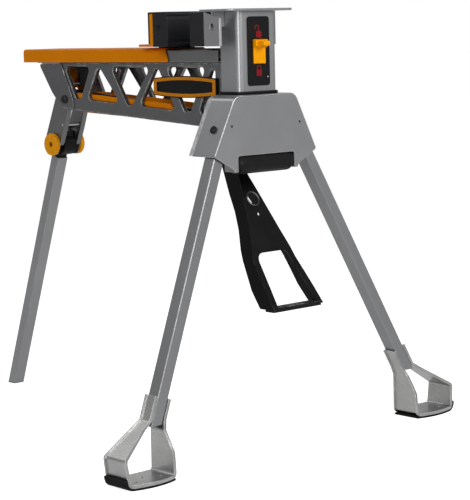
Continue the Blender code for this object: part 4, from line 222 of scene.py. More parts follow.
def make_edge_rub():
    """Lighter colour along edges, partly wear and partly a painted highlight where the rounding would catch
    light: a mask from the bend of the surface, broken up by noise.
    """
    group, start, end = group_with(
        "edge_rub",
        [
            ("Place", "NodeSocketVector", None),
            ("Width", "NodeSocketFloat", 0.001),
            ("Amount", "NodeSocketFloat", 0.5),
            ("Full Bend", "NodeSocketFloat", 0.8),
        ],
        [("Mask", "NodeSocketFloat")],
    )
    bent = add_node(group, "ShaderNodeBevel", samples=4)
    wire(group, start.outputs["Width"], bent.inputs["Radius"])
    flat = add_node(group, "ShaderNodeNewGeometry")
    along = add_node(group, "ShaderNodeVectorMath", operation="DOT_PRODUCT")
    wire(group, bent.outputs["Normal"], along.inputs[0])
    wire(group, flat.outputs["Normal"], along.inputs[1])
    edge = ranged(group, along.outputs["Value"], 0.995, 0.80, 0.0, 1.0)
    wire(group, start.outputs["Full Bend"], edge.node.inputs["From Max"])
    patches = noise(group, start.outputs["Place"], 55.0, 4.0, 0.7)
    broken = ranged(group, patches.outputs["Fac"], 0.42, 0.62, 0.0, 1.0)
    both = add_node(group, "ShaderNodeMath", operation="MULTIPLY")
    wire(group, edge, both.inputs[0])
    wire(group, broken, both.inputs[1])
    scaled = add_node(group, "ShaderNodeMath", operation="MULTIPLY")
    wire(group, both.outputs[0], scaled.inputs[0])
    wire(group, start.outputs["Amount"], scaled.inputs[1])
    wire(group, scaled.outputs[0], end.inputs["Mask"])
    return group


def make_mottle():
    """Slow changes of tone and a fine speckle over a colour."""
    group, start, end = group_with(
        "tone_and_speckle",
        [
            ("Place", "NodeSocketVector", None),
            ("Colour", "NodeSocketColor", None),
            ("Speckle Size", "NodeSocketFloat", 900.0),
            ("Speckle", "NodeSocketFloat", 0.1),
            ("Clouding", "NodeSocketFloat", 0.06),
        ],
        [("Colour", "NodeSocketColor"), ("Height", "NodeSocketFloat")],
    )
    cloud = noise(group, start.outputs["Place"], 9.0, 2.0)
    fine = noise(group, start.outputs["Place"], 900.0, 1.0)
    wire(group, start.outputs["Speckle Size"], fine.inputs["Scale"])
    tone = add_node(group, "ShaderNodeMath", operation="MULTIPLY_ADD")
    lifted = ranged(group, cloud.outputs["Fac"], 0.3, 0.7, -1.0, 1.0)
    wire(group, lifted, tone.inputs[0])
    wire(group, start.outputs["Clouding"], tone.inputs[1])
    tone.inputs[2].default_value = 1.0
    grain = add_node(group, "ShaderNodeMath", operation="MULTIPLY_ADD")
    sparkle = ranged(group, fine.outputs["Fac"], 0.35, 0.65, -1.0, 1.0)
    wire(group, sparkle, grain.inputs[0])
    wire(group, start.outputs["Speckle"], grain.inputs[1])
    wire(group, tone.outputs[0], grain.inputs[2])
    shaded = add_node(group, "ShaderNodeVectorMath", operation="SCALE")
    wire(group, start.outputs["Colour"], shaded.inputs[0])
    wire(group, grain.outputs[0], shaded.inputs["Scale"])
    wire(group, shaded.outputs["Vector"], end.inputs["Colour"])
    wire(group, fine.outputs["Fac"], end.inputs["Height"])
    return group


def make_dust():
    """A thin film of dust that lies on faces that look up."""
    group, start, end = group_with(
        "dust_film",
        [
            ("Place", "NodeSocketVector", None),
            ("Colour", "NodeSocketColor", None),
            ("Amount", "NodeSocketFloat", 0.1),
        ],
        [("Colour", "NodeSocketColor"), ("Mask", "NodeSocketFloat")],
    )
    surface = add_node(group, "ShaderNodeNewGeometry")
    split = add_node(group, "ShaderNodeSeparateXYZ")
    wire(group, surface.outputs["Normal"], split.inputs[0])
    up = ranged(group, split.outputs["Z"], 0.35, 1.0, 0.0, 1.0)
    patches = noise(group, start.outputs["Place"], 30.0, 5.0, 0.65)
    loose = ranged(group, patches.outputs["Fac"], 0.35, 0.7, 0.2, 1.0)
    lying = add_node(group, "ShaderNodeMath", operation="MULTIPLY")
    wire(group, up, lying.inputs[0])
    wire(group, loose, lying.inputs[1])
    amount = add_node(group, "ShaderNodeMath", operation="MULTIPLY")
    wire(group, lying.outputs[0], amount.inputs[0])
    wire(group, start.outputs["Amount"], amount.inputs[1])
    dusted = add_node(group, "ShaderNodeMix", data_type="RGBA")
    wire(group, amount.outputs[0], dusted.inputs["Factor"])
    wire(group, start.outputs["Colour"], dusted.inputs["A"])
    dusted.inputs["B"].default_value = DUST_COLOUR
    wire(group, dusted.outputs["Result"], end.inputs["Colour"])
    wire(group, amount.outputs[0], end.inputs["Mask"])
    return group


EDGE_WEAR_AND_HIGHLIGHT = make_edge_rub()
MOTTLE = make_mottle()
DUST = make_dust()


def use_group(tree, group, **values):
    node = tree.nodes.new("ShaderNodeGroup")
    node.node_tree = group
    for label, value in values.items():
        node.inputs[label.replace("_", " ")].default_value = value
    return node


def coat_finish(
    name, colour, roughness, metallic=0.0, specular=0.3, rough_spread=0.08, bump=0.00004,
    speckle=0.08, speckle_size=900.0, clouding=0.05, dust=0.06,
    edge_wear_and_highlight_amount=0.3, edge_wear_and_highlight_colour=(0.42, 0.42, 0.42, 1.0), edge_wear_and_highlight_width=0.0012, full_bend=0.8,
):
    """A painted or moulded surface: toned and speckled colour, edges lightened by a little wear and by a
    painted highlight, dust and a fine relief.
    """
    made = bpy.data.materials.new(name)
    made.use_nodes = True
    tree = made.node_tree
    shader = tree.nodes["Principled BSDF"]
    place = add_node(tree, "ShaderNodeTexCoord").outputs["Object"]
    toned = use_group(
        tree, MOTTLE, Colour=colour, Speckle=speckle, Clouding=clouding, Speckle_Size=speckle_size
    )
    wire(tree, place, toned.inputs["Place"])
    edge_wear_and_highlight_node = use_group(tree, EDGE_WEAR_AND_HIGHLIGHT, Width=edge_wear_and_highlight_width, Amount=edge_wear_and_highlight_amount, Full_Bend=full_bend)
    wire(tree, place, edge_wear_and_highlight_node.inputs["Place"])
    edge_wear_and_highlight_tone = add_node(tree, "ShaderNodeMix", data_type="RGBA")
    wire(tree, edge_wear_and_highlight_node.outputs["Mask"], edge_wear_and_highlight_tone.inputs["Factor"])
    wire(tree, toned.outputs["Colour"], edge_wear_and_highlight_tone.inputs["A"])
    edge_wear_and_highlight_tone.inputs["B"].default_value = edge_wear_and_highlight_colour
    dusty = use_group(tree, DUST, Amount=dust)
    wire(tree, place, dusty.inputs["Place"])
    wire(tree, edge_wear_and_highlight_tone.outputs["Result"], dusty.inputs["Colour"])
    wire(tree, dusty.outputs["Colour"], shader.inputs["Base Color"])
    smears = noise(tree, place, 22.0, 5.0, 0.6)
    spread = ranged(tree, smears.outputs["Fac"], 0.3, 0.7, roughness - rough_spread, roughness + rough_spread)
    wire(tree, spread, shader.inputs["Roughness"])
    shader.inputs["Metallic"].default_value = metallic
    shader.inputs["Specular IOR Level"].default_value = specular
    relief = add_node(tree, "ShaderNodeBump")
    relief.inputs["Strength"].default_value = 0.6
    relief.inputs["Distance"].default_value = bump
    wire(tree, toned.outputs["Height"], relief.inputs["Height"])
    wire(tree, relief.outputs["Normal"], shader.inputs["Normal"])
    return made


def zinc_finish(name, colour=(0.50, 0.50, 0.49, 1.0), roughness=0.34, edge_wear_and_highlight_amount=0.0):
    """Bright zinc plate with a slight brushed streak, cloudy patches, and edges lightened by wear and by a
    painted highlight.
    """
    made = bpy.data.materials.new(name)
    made.use_nodes = True
    tree = made.node_tree
    shader = tree.nodes["Principled BSDF"]
    place = add_node(tree, "ShaderNodeTexCoord").outputs["Object"]
    drawn = add_node(tree, "ShaderNodeMapping")
    drawn.inputs["Scale"].default_value = (1.0, 14.0, 14.0)
    wire(tree, place, drawn.inputs["Vector"])
    streaks = noise(tree, drawn.outputs["Vector"], 60.0, 5.0, 0.7)
    toned = use_group(tree, MOTTLE, Colour=colour, Speckle=0.05, Clouding=0.12, Speckle_Size=600.0)
    wire(tree, place, toned.inputs["Place"])
    edge_wear_and_highlight_node = use_group(tree, EDGE_WEAR_AND_HIGHLIGHT, Width=0.0015, Amount=edge_wear_and_highlight_amount, Full_Bend=0.95)
    wire(tree, place, edge_wear_and_highlight_node.inputs["Place"])
    bright = add_node(tree, "ShaderNodeMix", data_type="RGBA")
    wire(tree, edge_wear_and_highlight_node.outputs["Mask"], bright.inputs["Factor"])
    wire(tree, toned.outputs["Colour"], bright.inputs["A"])
    bright.inputs["B"].default_value = ZINC_EDGE_WEAR_AND_HIGHLIGHT
    wire(tree, bright.outputs["Result"], shader.inputs["Base Color"])
    rough = ranged(tree, streaks.outputs["Fac"], 0.3, 0.7, roughness - 0.1, roughness + 0.12)
    wire(tree, rough, shader.inputs["Roughness"])
    shader.inputs["Metallic"].default_value = 1.0
    relief = add_node(tree, "ShaderNodeBump")
    relief.inputs["Strength"].default_value = 0.5
    relief.inputs["Distance"].default_value = 0.00003
    wire(tree, streaks.outputs["Fac"], relief.inputs["Height"])
    wire(tree, relief.outputs["Normal"], shader.inputs["Normal"])
    return made


# What the silver powder coat on the body and the slightly darker one on the legs share
SILVER_COAT = {
    "metallic": 0.7, "specular": 0.4, "rough_spread": 0.0, "bump": 0.00002,
    "speckle": 0.05, "speckle_size": 1100.0, "clouding": 0.05,
    # The light edge colour below paints highlights along the rounded edges, together with a little wear
    "edge_wear_and_highlight_amount": 0.7, "edge_wear_and_highlight_colour": (0.80, 0.80, 0.79, 1.0), "edge_wear_and_highlight_width": 0.0015, "full_bend": 0.93,
}
# What the two darker copies of the silver coat share: their darker colours are painted shade on the beam and
# the rear bracket
SHADED_SILVER_SHARE = {"metallic": 0.8, "specular": 0.3, "speckle_size": 1100.0, "clouding": 0.06}
# What the black mouldings share
BLACK_MOULDING = {
    "specular": 0.14, "bump": 0.00007, "speckle": 0.25, "speckle_size": 1300.0, "clouding": 0.12, "dust": 0.02,
}

# In the finishes below, the lighter edge colour paints highlights along rounded edges, together with a little
# wear
SILVER_PAINT = coat_finish("silver_powder_coat", (0.330, 0.335, 0.342, 1.0), 0.34, **SILVER_COAT)
LEG_PAINT = coat_finish("leg_powder_coat", (0.275, 0.280, 0.286, 1.0), 0.34, **SILVER_COAT)
# Painted shade: the silver coat made darker for the beam's side plates and doublers; its light edge colour
# paints highlights on the window rims, with a little wear
SILVER_IN_DEEP_SHADE = coat_finish(
    "silver_coat_in_deep_shade", (0.150, 0.152, 0.156, 1.0), 0.33, speckle=0.10,
    edge_wear_and_highlight_amount=0.95, edge_wear_and_highlight_colour=(0.68, 0.68, 0.67, 1.0), edge_wear_and_highlight_width=0.004, full_bend=0.965, **SHADED_SILVER_SHARE,
)
# Painted shade: the silver coat made less dark for the top channel and the rear bracket
SILVER_IN_SHADE = coat_finish(
    "silver_coat_in_shade", (0.190, 0.192, 0.196, 1.0), 0.33, speckle=0.08,
    edge_wear_and_highlight_amount=0.1, edge_wear_and_highlight_colour=(0.24, 0.24, 0.24, 1.0), **SHADED_SILVER_SHARE,
)
ORANGE_PAINT = coat_finish(
    "orange_powder_coat", (0.84, 0.252, 0.0002, 1.0), 0.38, specular=0.05,
    speckle=0.05, clouding=0.06, dust=0.0, edge_wear_and_highlight_colour=(0.86, 0.27, 0.005, 1.0),
)
ORANGE_PLASTIC = coat_finish(
    "orange_moulding", (0.97, 0.390, 0.0003, 1.0), 0.35, specular=0.12,
    speckle=0.03, clouding=0.03, dust=0.0, edge_wear_and_highlight_amount=0.2, edge_wear_and_highlight_colour=(0.97, 0.42, 0.01, 1.0),
)
BADGE_ORANGE = coat_finish(
    "orange_badge_rim", (0.62, 0.215, 0.0006, 1.0), 0.38, specular=0.15,
    speckle=0.06, clouding=0.06, dust=0.0, edge_wear_and_highlight_amount=0.2,
)
BLACK_PLASTIC = coat_finish(
    "black_moulding", (0.0055, 0.0058, 0.0064, 1.0), 0.42,
    edge_wear_and_highlight_amount=0.6, edge_wear_and_highlight_colour=(0.02, 0.02, 0.022, 1.0), **BLACK_MOULDING,
)
TREAD_PLASTIC = coat_finish(
    "black_tread_moulding", (0.0055, 0.0058, 0.0064, 1.0), 0.42,
    edge_wear_and_highlight_amount=0.95, edge_wear_and_highlight_colour=(0.42, 0.42, 0.41, 1.0), full_bend=0.9, **BLACK_MOULDING,
)
PAD_PLASTIC = coat_finish(
    "black_jaw_pad", (0.0165, 0.0176, 0.0196, 1.0), 0.50, specular=0.18, bump=0.00010,
    speckle=0.3, speckle_size=1000.0, clouding=0.15, dust=0.02,
    edge_wear_and_highlight_amount=0.8, edge_wear_and_highlight_colour=(0.045, 0.045, 0.047, 1.0),
)
BLACK_PAINT = coat_finish(
    "black_gloss_coat", (0.0032, 0.0034, 0.0040, 1.0), 0.34, specular=0.12,
    speckle=0.15, clouding=0.08, dust=0.01, edge_wear_and_highlight_amount=0.9, edge_wear_and_highlight_colour=(0.11, 0.11, 0.115, 1.0), full_bend=0.9,
)
RUBBER = coat_finish(
    "black_sole_rubber", (0.010, 0.010, 0.010, 1.0), 0.72, specular=0.12, bump=0.00012,
    speckle=0.3, speckle_size=700.0, clouding=0.2, edge_wear_and_highlight_amount=0.7, edge_wear_and_highlight_colour=(0.04, 0.038, 0.036, 1.0),
)
ICON_RED = coat_finish(
    "red_print", (0.24, 0.006, 0.010, 1.0), 0.45, specular=0.15, clouding=0.08, dust=0.0, edge_wear_and_highlight_amount=0.0,
)
ZINC = zinc_finish("zinc_plate")
# The bright edges of the stirrup straps are a painted highlight, with some wear
STRAP_ZINC = zinc_finish("strap_zinc", (0.43, 0.43, 0.425, 1.0), 0.30, edge_wear_and_highlight_amount=0.9)
RIM_STEEL = zinc_finish("rubbed_rim_steel", (0.10, 0.10, 0.105, 1.0), 0.36)
# Dark zinc for small bolts and screws; on the lock dog and the pull rod inside the beam its darkness is
# painted shade
DARK_ZINC_AND_SHADE = zinc_finish("dark_zinc_and_shade", (0.030, 0.030, 0.032, 1.0), 0.45)


# CAD pieces with broken edges

SLOT_FINISHES = {
    "silver_paint": SILVER_PAINT,
    "orange_paint": ORANGE_PAINT,
    "orange_plastic": ORANGE_PLASTIC,
    "black_plastic": BLACK_PLASTIC,
    "black_paint": BLACK_PAINT,
    "black_rubber": RUBBER,
    "steel": ZINC,
}
SLOT_OF = {part["node"]: part["material_slot"] for part in frame["record"]["subparts"]}

# Edge radius and smoothing angle of each piece whose edges show
EDGES = {
    "beam_top_channel": (0.0005, 50),
    "beam_bottom_channel": (0.0006, 38),
    "beam_end_wall": (0.0005, 38),
    "badge_backing": (0.0003, 38),
    "badge_plate": (0.0004, 38),
    "column": (0.0, 38),
    "column_collar": (0.0, 50),
    "top_plate": (0.0010, 38),
    "fixed_jaw_bracket": (0.0006, 50),
    "fixed_jaw_pad": (0.0020, 38),
    "moving_jaw_bracket": (0.0006, 50),
    "moving_jaw_pad": (0.0020, 38),
    "jaw_spacer": (0.0005, 38),
    "slide_rail": (0.0005, 50),
    "lock_bezel": (0.0007, 38),
    "lock_rocker": (0.0009, 38),
    "housing_front_shell": (0.0007, 50),
    "housing_rear_shell": (0.0008, 50),
    "pedal_lever": (0.0012, 50),
    "pedal_tread": (0.0004, 38),
    "rear_bracket": (0.0010, 50),
    "rear_leg_hub": (0.0008, 38),
    "rear_leg_tube": (0.0006, 60),
    "rear_leg_cap": (0.0003, 60),
}
PAIRED_EDGES = {
    "beam_side_plate": (0.0004, 50),
    "beam_end_doubler": (0.0007, 38),
    "column_gusset": (0.0006, 38),
    "pedal_bracket": (0.0006, 38),
    "front_leg": (0.0006, 60),
    "foot_stirrup": (0.0006, 50),
    "foot_sole": (0.0008, 50),
}
# Pieces whose finish isn't the usual one of their slot
OWN_FINISH = {
    "fixed_jaw_pad": PAD_PLASTIC,
    "moving_jaw_pad": PAD_PLASTIC,
    "bracket_bolt": DARK_ZINC_AND_SHADE,
    "drive_dog": ORANGE_PAINT,
    # The lock dog and the pull rod are made dark to paint the shade inside the beam
    "lock_dog": DARK_ZINC_AND_SHADE,
    "pull_rod": DARK_ZINC_AND_SHADE,
    # A darker copy of the silver coat, painted shade, on the rear bracket and the top channel
    "rear_bracket": SILVER_IN_SHADE,
    "beam_top_channel": SILVER_IN_SHADE,
    "pedal_tread": TREAD_PLASTIC,
}
PAIRED_FINISH = {
    "leg_bolt": DARK_ZINC_AND_SHADE,
    "foot_stirrup": STRAP_ZINC,
    "front_leg": LEG_PAINT,
    # The darkest copy of the silver coat, painted shade, on the side plates and doublers
    "beam_side_plate": SILVER_IN_DEEP_SHADE,
    "beam_end_doubler": SILVER_IN_DEEP_SHADE,
}
for side_word in ("left", "right"):
    EDGES.update({f"{name}_{side_word}": edge for name, edge in PAIRED_EDGES.items()})
    OWN_FINISH.update({f"{name}_{side_word}": finish for name, finish in PAIRED_FINISH.items()})


def finish_cad_pieces():
    for node, source in nodes.items():
        slot = SLOT_OF[node]
        finish = OWN_FINISH.get(node, SLOT_FINISHES[slot])
        if node in EDGES:
            width, angle = EDGES[node]
            finished_copy(node, width, finish, angle)
        else:
            source.data.materials.clear()
            source.data.materials.append(finish)


# Small fittings

KNOB_SWELL = 1.03
KNOB_WIDTH = 0.010
KNOB_RIM = 0.0026
KNOB_RECESS = 0.0065
KNOB_RECESS_DEPTH = 0.005
KNOB_SHANK = 0.0085
# The padlock icons
ICON_SHEET = 0.0002
ICON_WIDTH = 0.0145
ICON_HEIGHT = 0.0125
SHACKLE_RADIUS = 0.0048
# The pedal's round hole, from its pivot pin
PEDAL_HOLE = Vector((0.0807, -0.0075, -0.106))
PEDAL_HOLE_RADIUS = 0.0145
PEDAL_WEB_NORMAL = Vector((0.868, 0.0, 0.497))


def facing(place, axis):
    """The matrix that turns a piece's own Z to an axis and moves it to a place."""
    return Matrix.Translation(Vector(place)) @ Vector(axis).to_track_quat("Z", "Y").to_matrix().to_4x4()


def screw_head(name, place, axis, radius, height, finish, body):
    """A low domed head with a round socket, half sunk in a face."""
    bpy.ops.object.select_all(action="DESELECT")
    bpy.ops.mesh.primitive_cylinder_add(vertices=24, radius=radius, depth=height)
    piece = bpy.context.active_object
    start_editing(piece)
    pick_faces(piece, lambda middle, normal: normal.z > 0.9)
    bpy.ops.mesh.inset(thickness=radius * 0.22, depth=height * 0.28)
    bpy.ops.mesh.inset(thickness=radius * 0.33, depth=height * 0.06)
    bpy.ops.mesh.inset(thickness=radius * 0.03, depth=-height * 0.7)
    stop_editing()
    piece.matrix_world = facing(place, axis)
    settle(piece, name)
    smooth(piece, 30.0)
    return give(piece, finish, body)


def make_knob(word, side):
    """A round release knob: rolled rim, grooved face with a sunk centre, and a bored shank behind it."""
    node = f"release_knob_{word}"
    low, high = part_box(node)
    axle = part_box("hub_axle")
    bore = (axle[1].z - axle[0].z) / 2 + 0.0003
    inner, outer = sorted((abs(low.y), abs(high.y)))
    radius = (high.z - low.z) / 2 * KNOB_SWELL
    middle = Vector(((low.x + high.x) / 2, 0.0, (low.z + high.z) / 2))
    bpy.ops.object.select_all(action="DESELECT")
    bpy.ops.mesh.primitive_cylinder_add(
        vertices=64, radius=radius, depth=KNOB_WIDTH, location=(0.0, 0.0, outer - KNOB_WIDTH / 2)
    )
    piece = settle(bpy.context.active_object, f"{node}_finished")
    round_edges(piece, KNOB_RIM, 5)
    start_editing(piece)
    pick_faces(piece, lambda place, normal: normal.z > 0.99)
    bpy.ops.mesh.inset(thickness=0.0030, depth=-0.0003)
    bpy.ops.mesh.inset(thickness=0.0009, depth=-0.0008)
    bpy.ops.mesh.inset(thickness=0.0009, depth=0.0010)
    bpy.ops.mesh.inset(thickness=radius - KNOB_RIM - 0.0048 - KNOB_RECESS, depth=0.0002)
    bpy.ops.mesh.inset(thickness=0.0005, depth=-KNOB_RECESS_DEPTH)
    bpy.ops.mesh.select_all(action="DESELECT")
    pick_faces(piece, lambda place, normal: normal.z < -0.99)
    bpy.ops.mesh.inset(thickness=radius - KNOB_RIM - KNOB_SHANK, depth=0.0)
    bpy.ops.mesh.extrude_region_move(TRANSFORM_OT_translate={"value": (0.0, 0.0, inner + KNOB_WIDTH - outer)})
    bpy.ops.mesh.inset(thickness=KNOB_SHANK - bore, depth=0.0)
    bpy.ops.mesh.inset(thickness=0.0001, depth=inner + KNOB_RECESS_DEPTH + 0.002 - outer)
    stop_editing()
    round_edges(piece, 0.0003, 2, 40.0)
    piece.matrix_world = facing(middle, (0, side, 0))
    settle(piece, piece.name)
    smooth(piece)
    even_shading(piece)
    give(piece, ORANGE_PLASTIC, nodes[node]["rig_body"])
    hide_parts(node)


def open_pedal_hole():
    """Widens the hole in the pedal's web and lays a pressed rim round it, square to the sloping web."""
    pedal = bpy.data.objects["pedal_lever_finished"]
    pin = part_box("pedal_pivot_pin")
    place = facing((pin[0] + pin[1]) / 2 + PEDAL_HOLE, PEDAL_WEB_NORMAL)
    bpy.ops.object.select_all(action="DESELECT")
    bpy.ops.mesh.primitive_cylinder_add(vertices=40, radius=PEDAL_HOLE_RADIUS, depth=0.016)
    cutter = bpy.context.active_object
    cutter.matrix_world = place
    pick_only(pedal)
    opening = pedal.modifiers.new("wider_hole", "BOOLEAN")
    opening.operation = "DIFFERENCE"
    opening.solver = "EXACT"
    opening.object = cutter
    bpy.ops.object.modifier_apply(modifier=opening.name)
    bpy.data.objects.remove(cutter)
    smooth(pedal, 50.0)
    even_shading(pedal)
    bpy.ops.object.select_all(action="DESELECT")
    bpy.ops.mesh.primitive_torus_add(
        major_radius=PEDAL_HOLE_RADIUS + 0.0006, minor_radius=0.0018, major_segments=48, minor_segments=10
    )
    rim = bpy.context.active_object
    start_editing(rim, "VERT")
    bpy.ops.mesh.select_all(action="SELECT")
    bpy.ops.transform.resize(value=(1.0, 1.0, 0.7))
    stop_editing()
    rim.matrix_world = place
    settle(rim, "pedal_hole_rim")
    smooth(rim)
    give(rim, RIM_STEEL, nodes["pedal_lever"]["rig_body"])


def bowed_loop(low, high, end_inset, edge_inset, crown, count=14):
    """Points round a plate whose upper and lower edges bow outwards, set in from its outline."""
    left, right = low.x + end_inset, high.x - end_inset
    points = []
    for index in range(count + 1):
        bow = 4 * (index / count) * (1 - index / count)
        points.append((left + (right - left) * index / count, low.z + edge_inset + crown * (1 - bow)))
    for index in range(count + 1):
        bow = 4 * (index / count) * (1 - index / count)
        points.append((right + (left - right) * index / count, high.z - edge_inset - crown * (1 - bow)))
    return points


def make_badge_rim():
    """The raised orange rim of the name plate, inside a thin black outline. Its field stays bare."""
    low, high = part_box("badge_plate")
    face = low.y - 0.0002
    outer = bowed_loop(low, high, 0.0020, 0.0020, 0.005)
    inner = bowed_loop(low, high, 0.0112, 0.0086, 0.0042)
    count = len(outer)
    nexts = [(index + 1) % count for index in range(count)]
    faces = [(index, after, count + after, count + index) for index, after in enumerate(nexts)]
    mesh = bpy.data.meshes.new("badge_rim")
    mesh.from_pydata([(x, face, z) for x, z in outer + inner], [], faces)
    piece = bpy.data.objects.new("badge_rim", mesh)
    bpy.context.scene.collection.objects.link(piece)
    start_editing(piece)
    bpy.ops.mesh.select_all(action="SELECT")
    bpy.ops.mesh.extrude_region_move(TRANSFORM_OT_translate={"value": (0.0, -0.0011, 0.0)})
    bpy.ops.mesh.select_all(action="SELECT")
    bpy.ops.mesh.normals_make_consistent(inside=False)
    stop_editing()
    round_edges(piece, 0.0004, 2)
    smooth(piece)
    return give(piece, BADGE_ORANGE, "frame")


def make_padlock(name, centre_y, centre_z, opened):
    """A flat printed padlock: its body, and its shackle, shut or swung open."""
    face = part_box("lock_bezel")[1].x + 0.00005
    middle = face + ICON_SHEET / 2
    bpy.ops.object.select_all(action="DESELECT")
    bpy.ops.mesh.primitive_cube_add(
        size=1.0, location=(middle, centre_y, centre_z), scale=(ICON_SHEET, ICON_WIDTH, ICON_HEIGHT)
    )
    body = bpy.context.active_object
    bpy.ops.object.transform_apply(location=True, rotation=True, scale=True)
    round_edges(body, 0.00009, 1)
    top = centre_z + ICON_HEIGHT / 2
    shackle_y = centre_y - (0.0052 if opened else 0.0)
    rise = 0.0065 if opened else 0.0035
    points = [(shackle_y - SHACKLE_RADIUS, top + rise - 0.003 if opened else top - 0.001)]
    for index in range(13):
        angle = math.pi * index / 12
        across, up = SHACKLE_RADIUS * math.cos(angle), SHACKLE_RADIUS * math.sin(angle)
        points.append((shackle_y - across, top + rise + up))
    points.append((shackle_y + SHACKLE_RADIUS, top - 0.001))
    curve = bpy.data.curves.new(f"{name}_shackle", "CURVE")
    curve.dimensions = "3D"
    curve.bevel_depth = 0.0012
    curve.bevel_resolution = 2
    curve.use_fill_caps = True
    line = curve.splines.new("POLY")
    line.points.add(len(points) - 1)
    for target, (y, z) in zip(line.points, points):
        target.co = (0.0, y, z, 1.0)
    shackle = bpy.data.objects.new(f"{name}_shackle", curve)
    bpy.context.scene.collection.objects.link(shackle)
    pick_only(shackle)
    bpy.ops.object.convert(target="MESH")
    shackle = bpy.context.active_object
    shackle.scale = (0.08, 1.0, 1.0)
    shackle.location = (middle, 0.0, 0.0)
    bpy.ops.object.transform_apply(location=True, rotation=True, scale=True)
    body.select_set(True)
    bpy.context.view_layer.objects.active = body
    bpy.ops.object.join()
    settle(body, name)
    smooth(body)
    return give(body, ICON_RED, "frame")


def make_fittings():
    make_badge_rim()
    open_pedal_hole()
    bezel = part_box("lock_bezel")
    make_padlock("lock_icon_open", 0.0005, 0.8235, True)
    make_padlock("lock_icon_closed", -0.0005, 0.7475, False)
    face = bezel[1].x - 0.0001
    screws = (
        ("upper_left", 0.0215, bezel[1].z - 0.0075),
        ("upper_right", -0.0215, bezel[1].z - 0.0075),
        ("lower_right", -0.0215, bezel[0].z + 0.0085),
    )
    for word, y, z in screws:
        place = (face, y, z)
        screw_head(f"bezel_screw_{word}", place, (1, 0, 0), 0.0022, 0.0010, BLACK_PLASTIC, "frame")
    place = (face, 0.0235, bezel[0].z + 0.017)
    screw_head("bezel_screw_lower_left", place, (1, 0, 0), 0.0016, 0.0008, ZINC, "frame")
    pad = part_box("moving_jaw_pad")
    for word, side in (("left", 1), ("right", -1)):
        place = (pad[1].x - 0.027, side * (pad[1].y - 0.0001), 0.842)
        screw_head(f"pad_screw_{word}", place, (0, side, 0), 0.0060, 0.0010, BLACK_PAINT, "jaw")
        make_knob(word, side)
        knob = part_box(f"release_knob_{word}")
        face = knob[1].y if side > 0 else knob[0].y
        place = ((knob[0].x + knob[1].x) / 2, face - side * 0.0051, (knob[0].z + knob[1].z) / 2)
        body = nodes[f"release_knob_{word}"]["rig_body"]
        screw_head(f"knob_screw_{word}", place, (0, side, 0), 0.0054, 0.0030, DARK_ZINC_AND_SHADE, body)


# Studio

# How much of the white background a reflection shows
GLOSSY_SHARE = 0.30
FLOOR_SIZE = 60.0
FLOOR_GLOW = 0.84
AIR_LIGHT = 0.20
# Name, place, aim, size and power of each lamp, and whether only reflections show it
LAMPS = (
    ("key_softbox", (3.0, 0.5, 2.0), (0.2, 0.0, 0.45), (2.0, 1.6), 58.0, False),
    ("side_softbox", (0.6, -2.2, 2.1), (0.2, 0.0, 0.6), (1.6, 1.2), 21.0, False),
    ("edge_card", (2.6, -2.3, 1.05), (0.2, 0.0, 0.5), (0.8, 2.0), 30.0, True),
    ("left_card", (-2.4, -0.9, 3.2), (0.3, 0.0, 0.2), (1.1, 0.9), 8.0, True),
    ("rear_softbox", (-2.4, 1.6, 2.4), (0.0, 0.0, 0.5), (2.0, 1.6), 9.0, False),
)


def make_backdrop():
    """A pale floor that runs far behind the stand, white to the camera but for the soft shadow."""
    bpy.ops.object.select_all(action="DESELECT")
    bpy.ops.mesh.primitive_plane_add(size=1.0)
    floor = bpy.context.active_object
    start_editing(floor, "VERT")
    bpy.ops.mesh.select_all(action="SELECT")
    bpy.ops.transform.resize(value=(FLOOR_SIZE, FLOOR_SIZE, 1.0))
    stop_editing()
    settle(floor, "studio_floor")
    paper = bpy.data.materials.new("studio_paper")
    paper.use_nodes = True
    tree = paper.node_tree
    shader = tree.nodes["Principled BSDF"]
    shader.inputs["Base Color"].default_value = (0.80, 0.80, 0.80, 1.0)
    shader.inputs["Roughness"].default_value = 0.9
    shader.inputs["Specular IOR Level"].default_value = 0.1
    seen = add_node(tree, "ShaderNodeMath", operation="MULTIPLY_ADD", use_clamp=True)
    path = add_node(tree, "ShaderNodeLightPath")
    wire(tree, path.outputs["Is Glossy Ray"], seen.inputs[0])
    seen.inputs[1].default_value = GLOSSY_SHARE
    wire(tree, path.outputs["Is Camera Ray"], seen.inputs[2])
    glow = add_node(tree, "ShaderNodeEmission")
    strength = add_node(tree, "ShaderNodeMath", operation="MULTIPLY")
    wire(tree, seen.outputs[0], strength.inputs[0])
    strength.inputs[1].default_value = FLOOR_GLOW
    wire(tree, strength.outputs[0], glow.inputs["Strength"])
    both = add_node(tree, "ShaderNodeAddShader")
    wire(tree, shader.outputs[0], both.inputs[0])
    wire(tree, glow.outputs[0], both.inputs[1])
    wire(tree, both.outputs[0], tree.nodes["Material Output"].inputs["Surface"])
    floor.data.materials.append(paper)


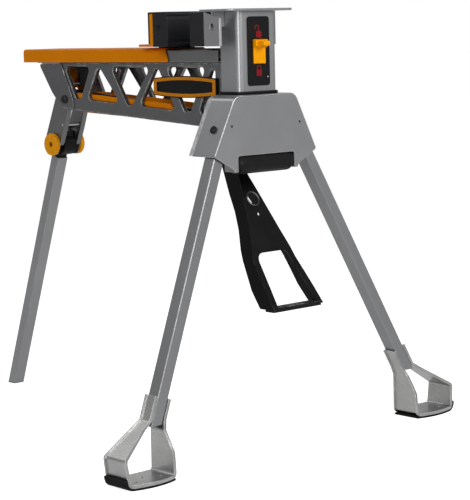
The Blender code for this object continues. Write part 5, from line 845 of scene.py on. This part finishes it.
def make_world():
    world = bpy.data.worlds.new("studio_air")
    world.use_nodes = True
    tree = world.node_tree
    backdrop = tree.nodes["Background"]
    backdrop.inputs["Color"].default_value = (1.0, 1.0, 1.0, 1.0)
    seen = add_node(tree, "ShaderNodeMath", operation="MULTIPLY_ADD", use_clamp=True)
    path = add_node(tree, "ShaderNodeLightPath")
    wire(tree, path.outputs["Is Glossy Ray"], seen.inputs[0])
    seen.inputs[1].default_value = GLOSSY_SHARE
    wire(tree, path.outputs["Is Camera Ray"], seen.inputs[2])
    strength = add_node(tree, "ShaderNodeMapRange")
    wire(tree, seen.outputs[0], strength.inputs["Value"])
    strength.inputs["To Min"].default_value = AIR_LIGHT
    strength.inputs["To Max"].default_value = 1.0
    wire(tree, strength.outputs["Result"], backdrop.inputs["Strength"])
    bpy.context.scene.world = world


def make_lamp(name, place, aim, size, power, only_glossy):
    lamp = bpy.data.lights.new(name, "AREA")
    lamp.shape = "RECTANGLE"
    lamp.size, lamp.size_y = size
    lamp.energy = power
    holder = bpy.data.objects.new(name, lamp)
    holder.location = place
    holder.rotation_mode = "QUATERNION"
    holder.rotation_quaternion = (Vector(aim) - Vector(place)).to_track_quat("-Z", "Y")
    holder.visible_diffuse = not only_glossy
    bpy.context.scene.collection.objects.link(holder)


def make_camera():
    azimuth = math.radians(CAMERA_AZIMUTH)
    elevation = math.radians(CAMERA_ELEVATION)
    roll = math.radians(CAMERA_ROLL)
    flat = math.cos(elevation)
    back = Vector((math.sin(azimuth) * flat, -math.cos(azimuth) * flat, math.sin(elevation)))
    level = (-back).cross(Vector((0.0, 0.0, 1.0))).normalized()
    rise = level.cross(-back).normalized()
    across = level * math.cos(roll) + rise * math.sin(roll)
    up = rise * math.cos(roll) - level * math.sin(roll)
    lens = bpy.data.cameras.new("photo_camera")
    lens.sensor_width = SENSOR
    lens.lens = CAMERA_LENS
    camera = bpy.data.objects.new("photo_camera", lens)
    turn = Matrix((across, up, back)).transposed().to_4x4()
    camera.matrix_world = Matrix.Translation(CAMERA_PLACE) @ turn
    bpy.context.scene.collection.objects.link(camera)
    bpy.context.scene.camera = camera


make_camera()
finish_cad_pieces()
make_fittings()
make_backdrop()
make_world()
for lamp_row in LAMPS:
    make_lamp(*lamp_row)
bpy.context.scene.view_settings.view_transform = "Standard"
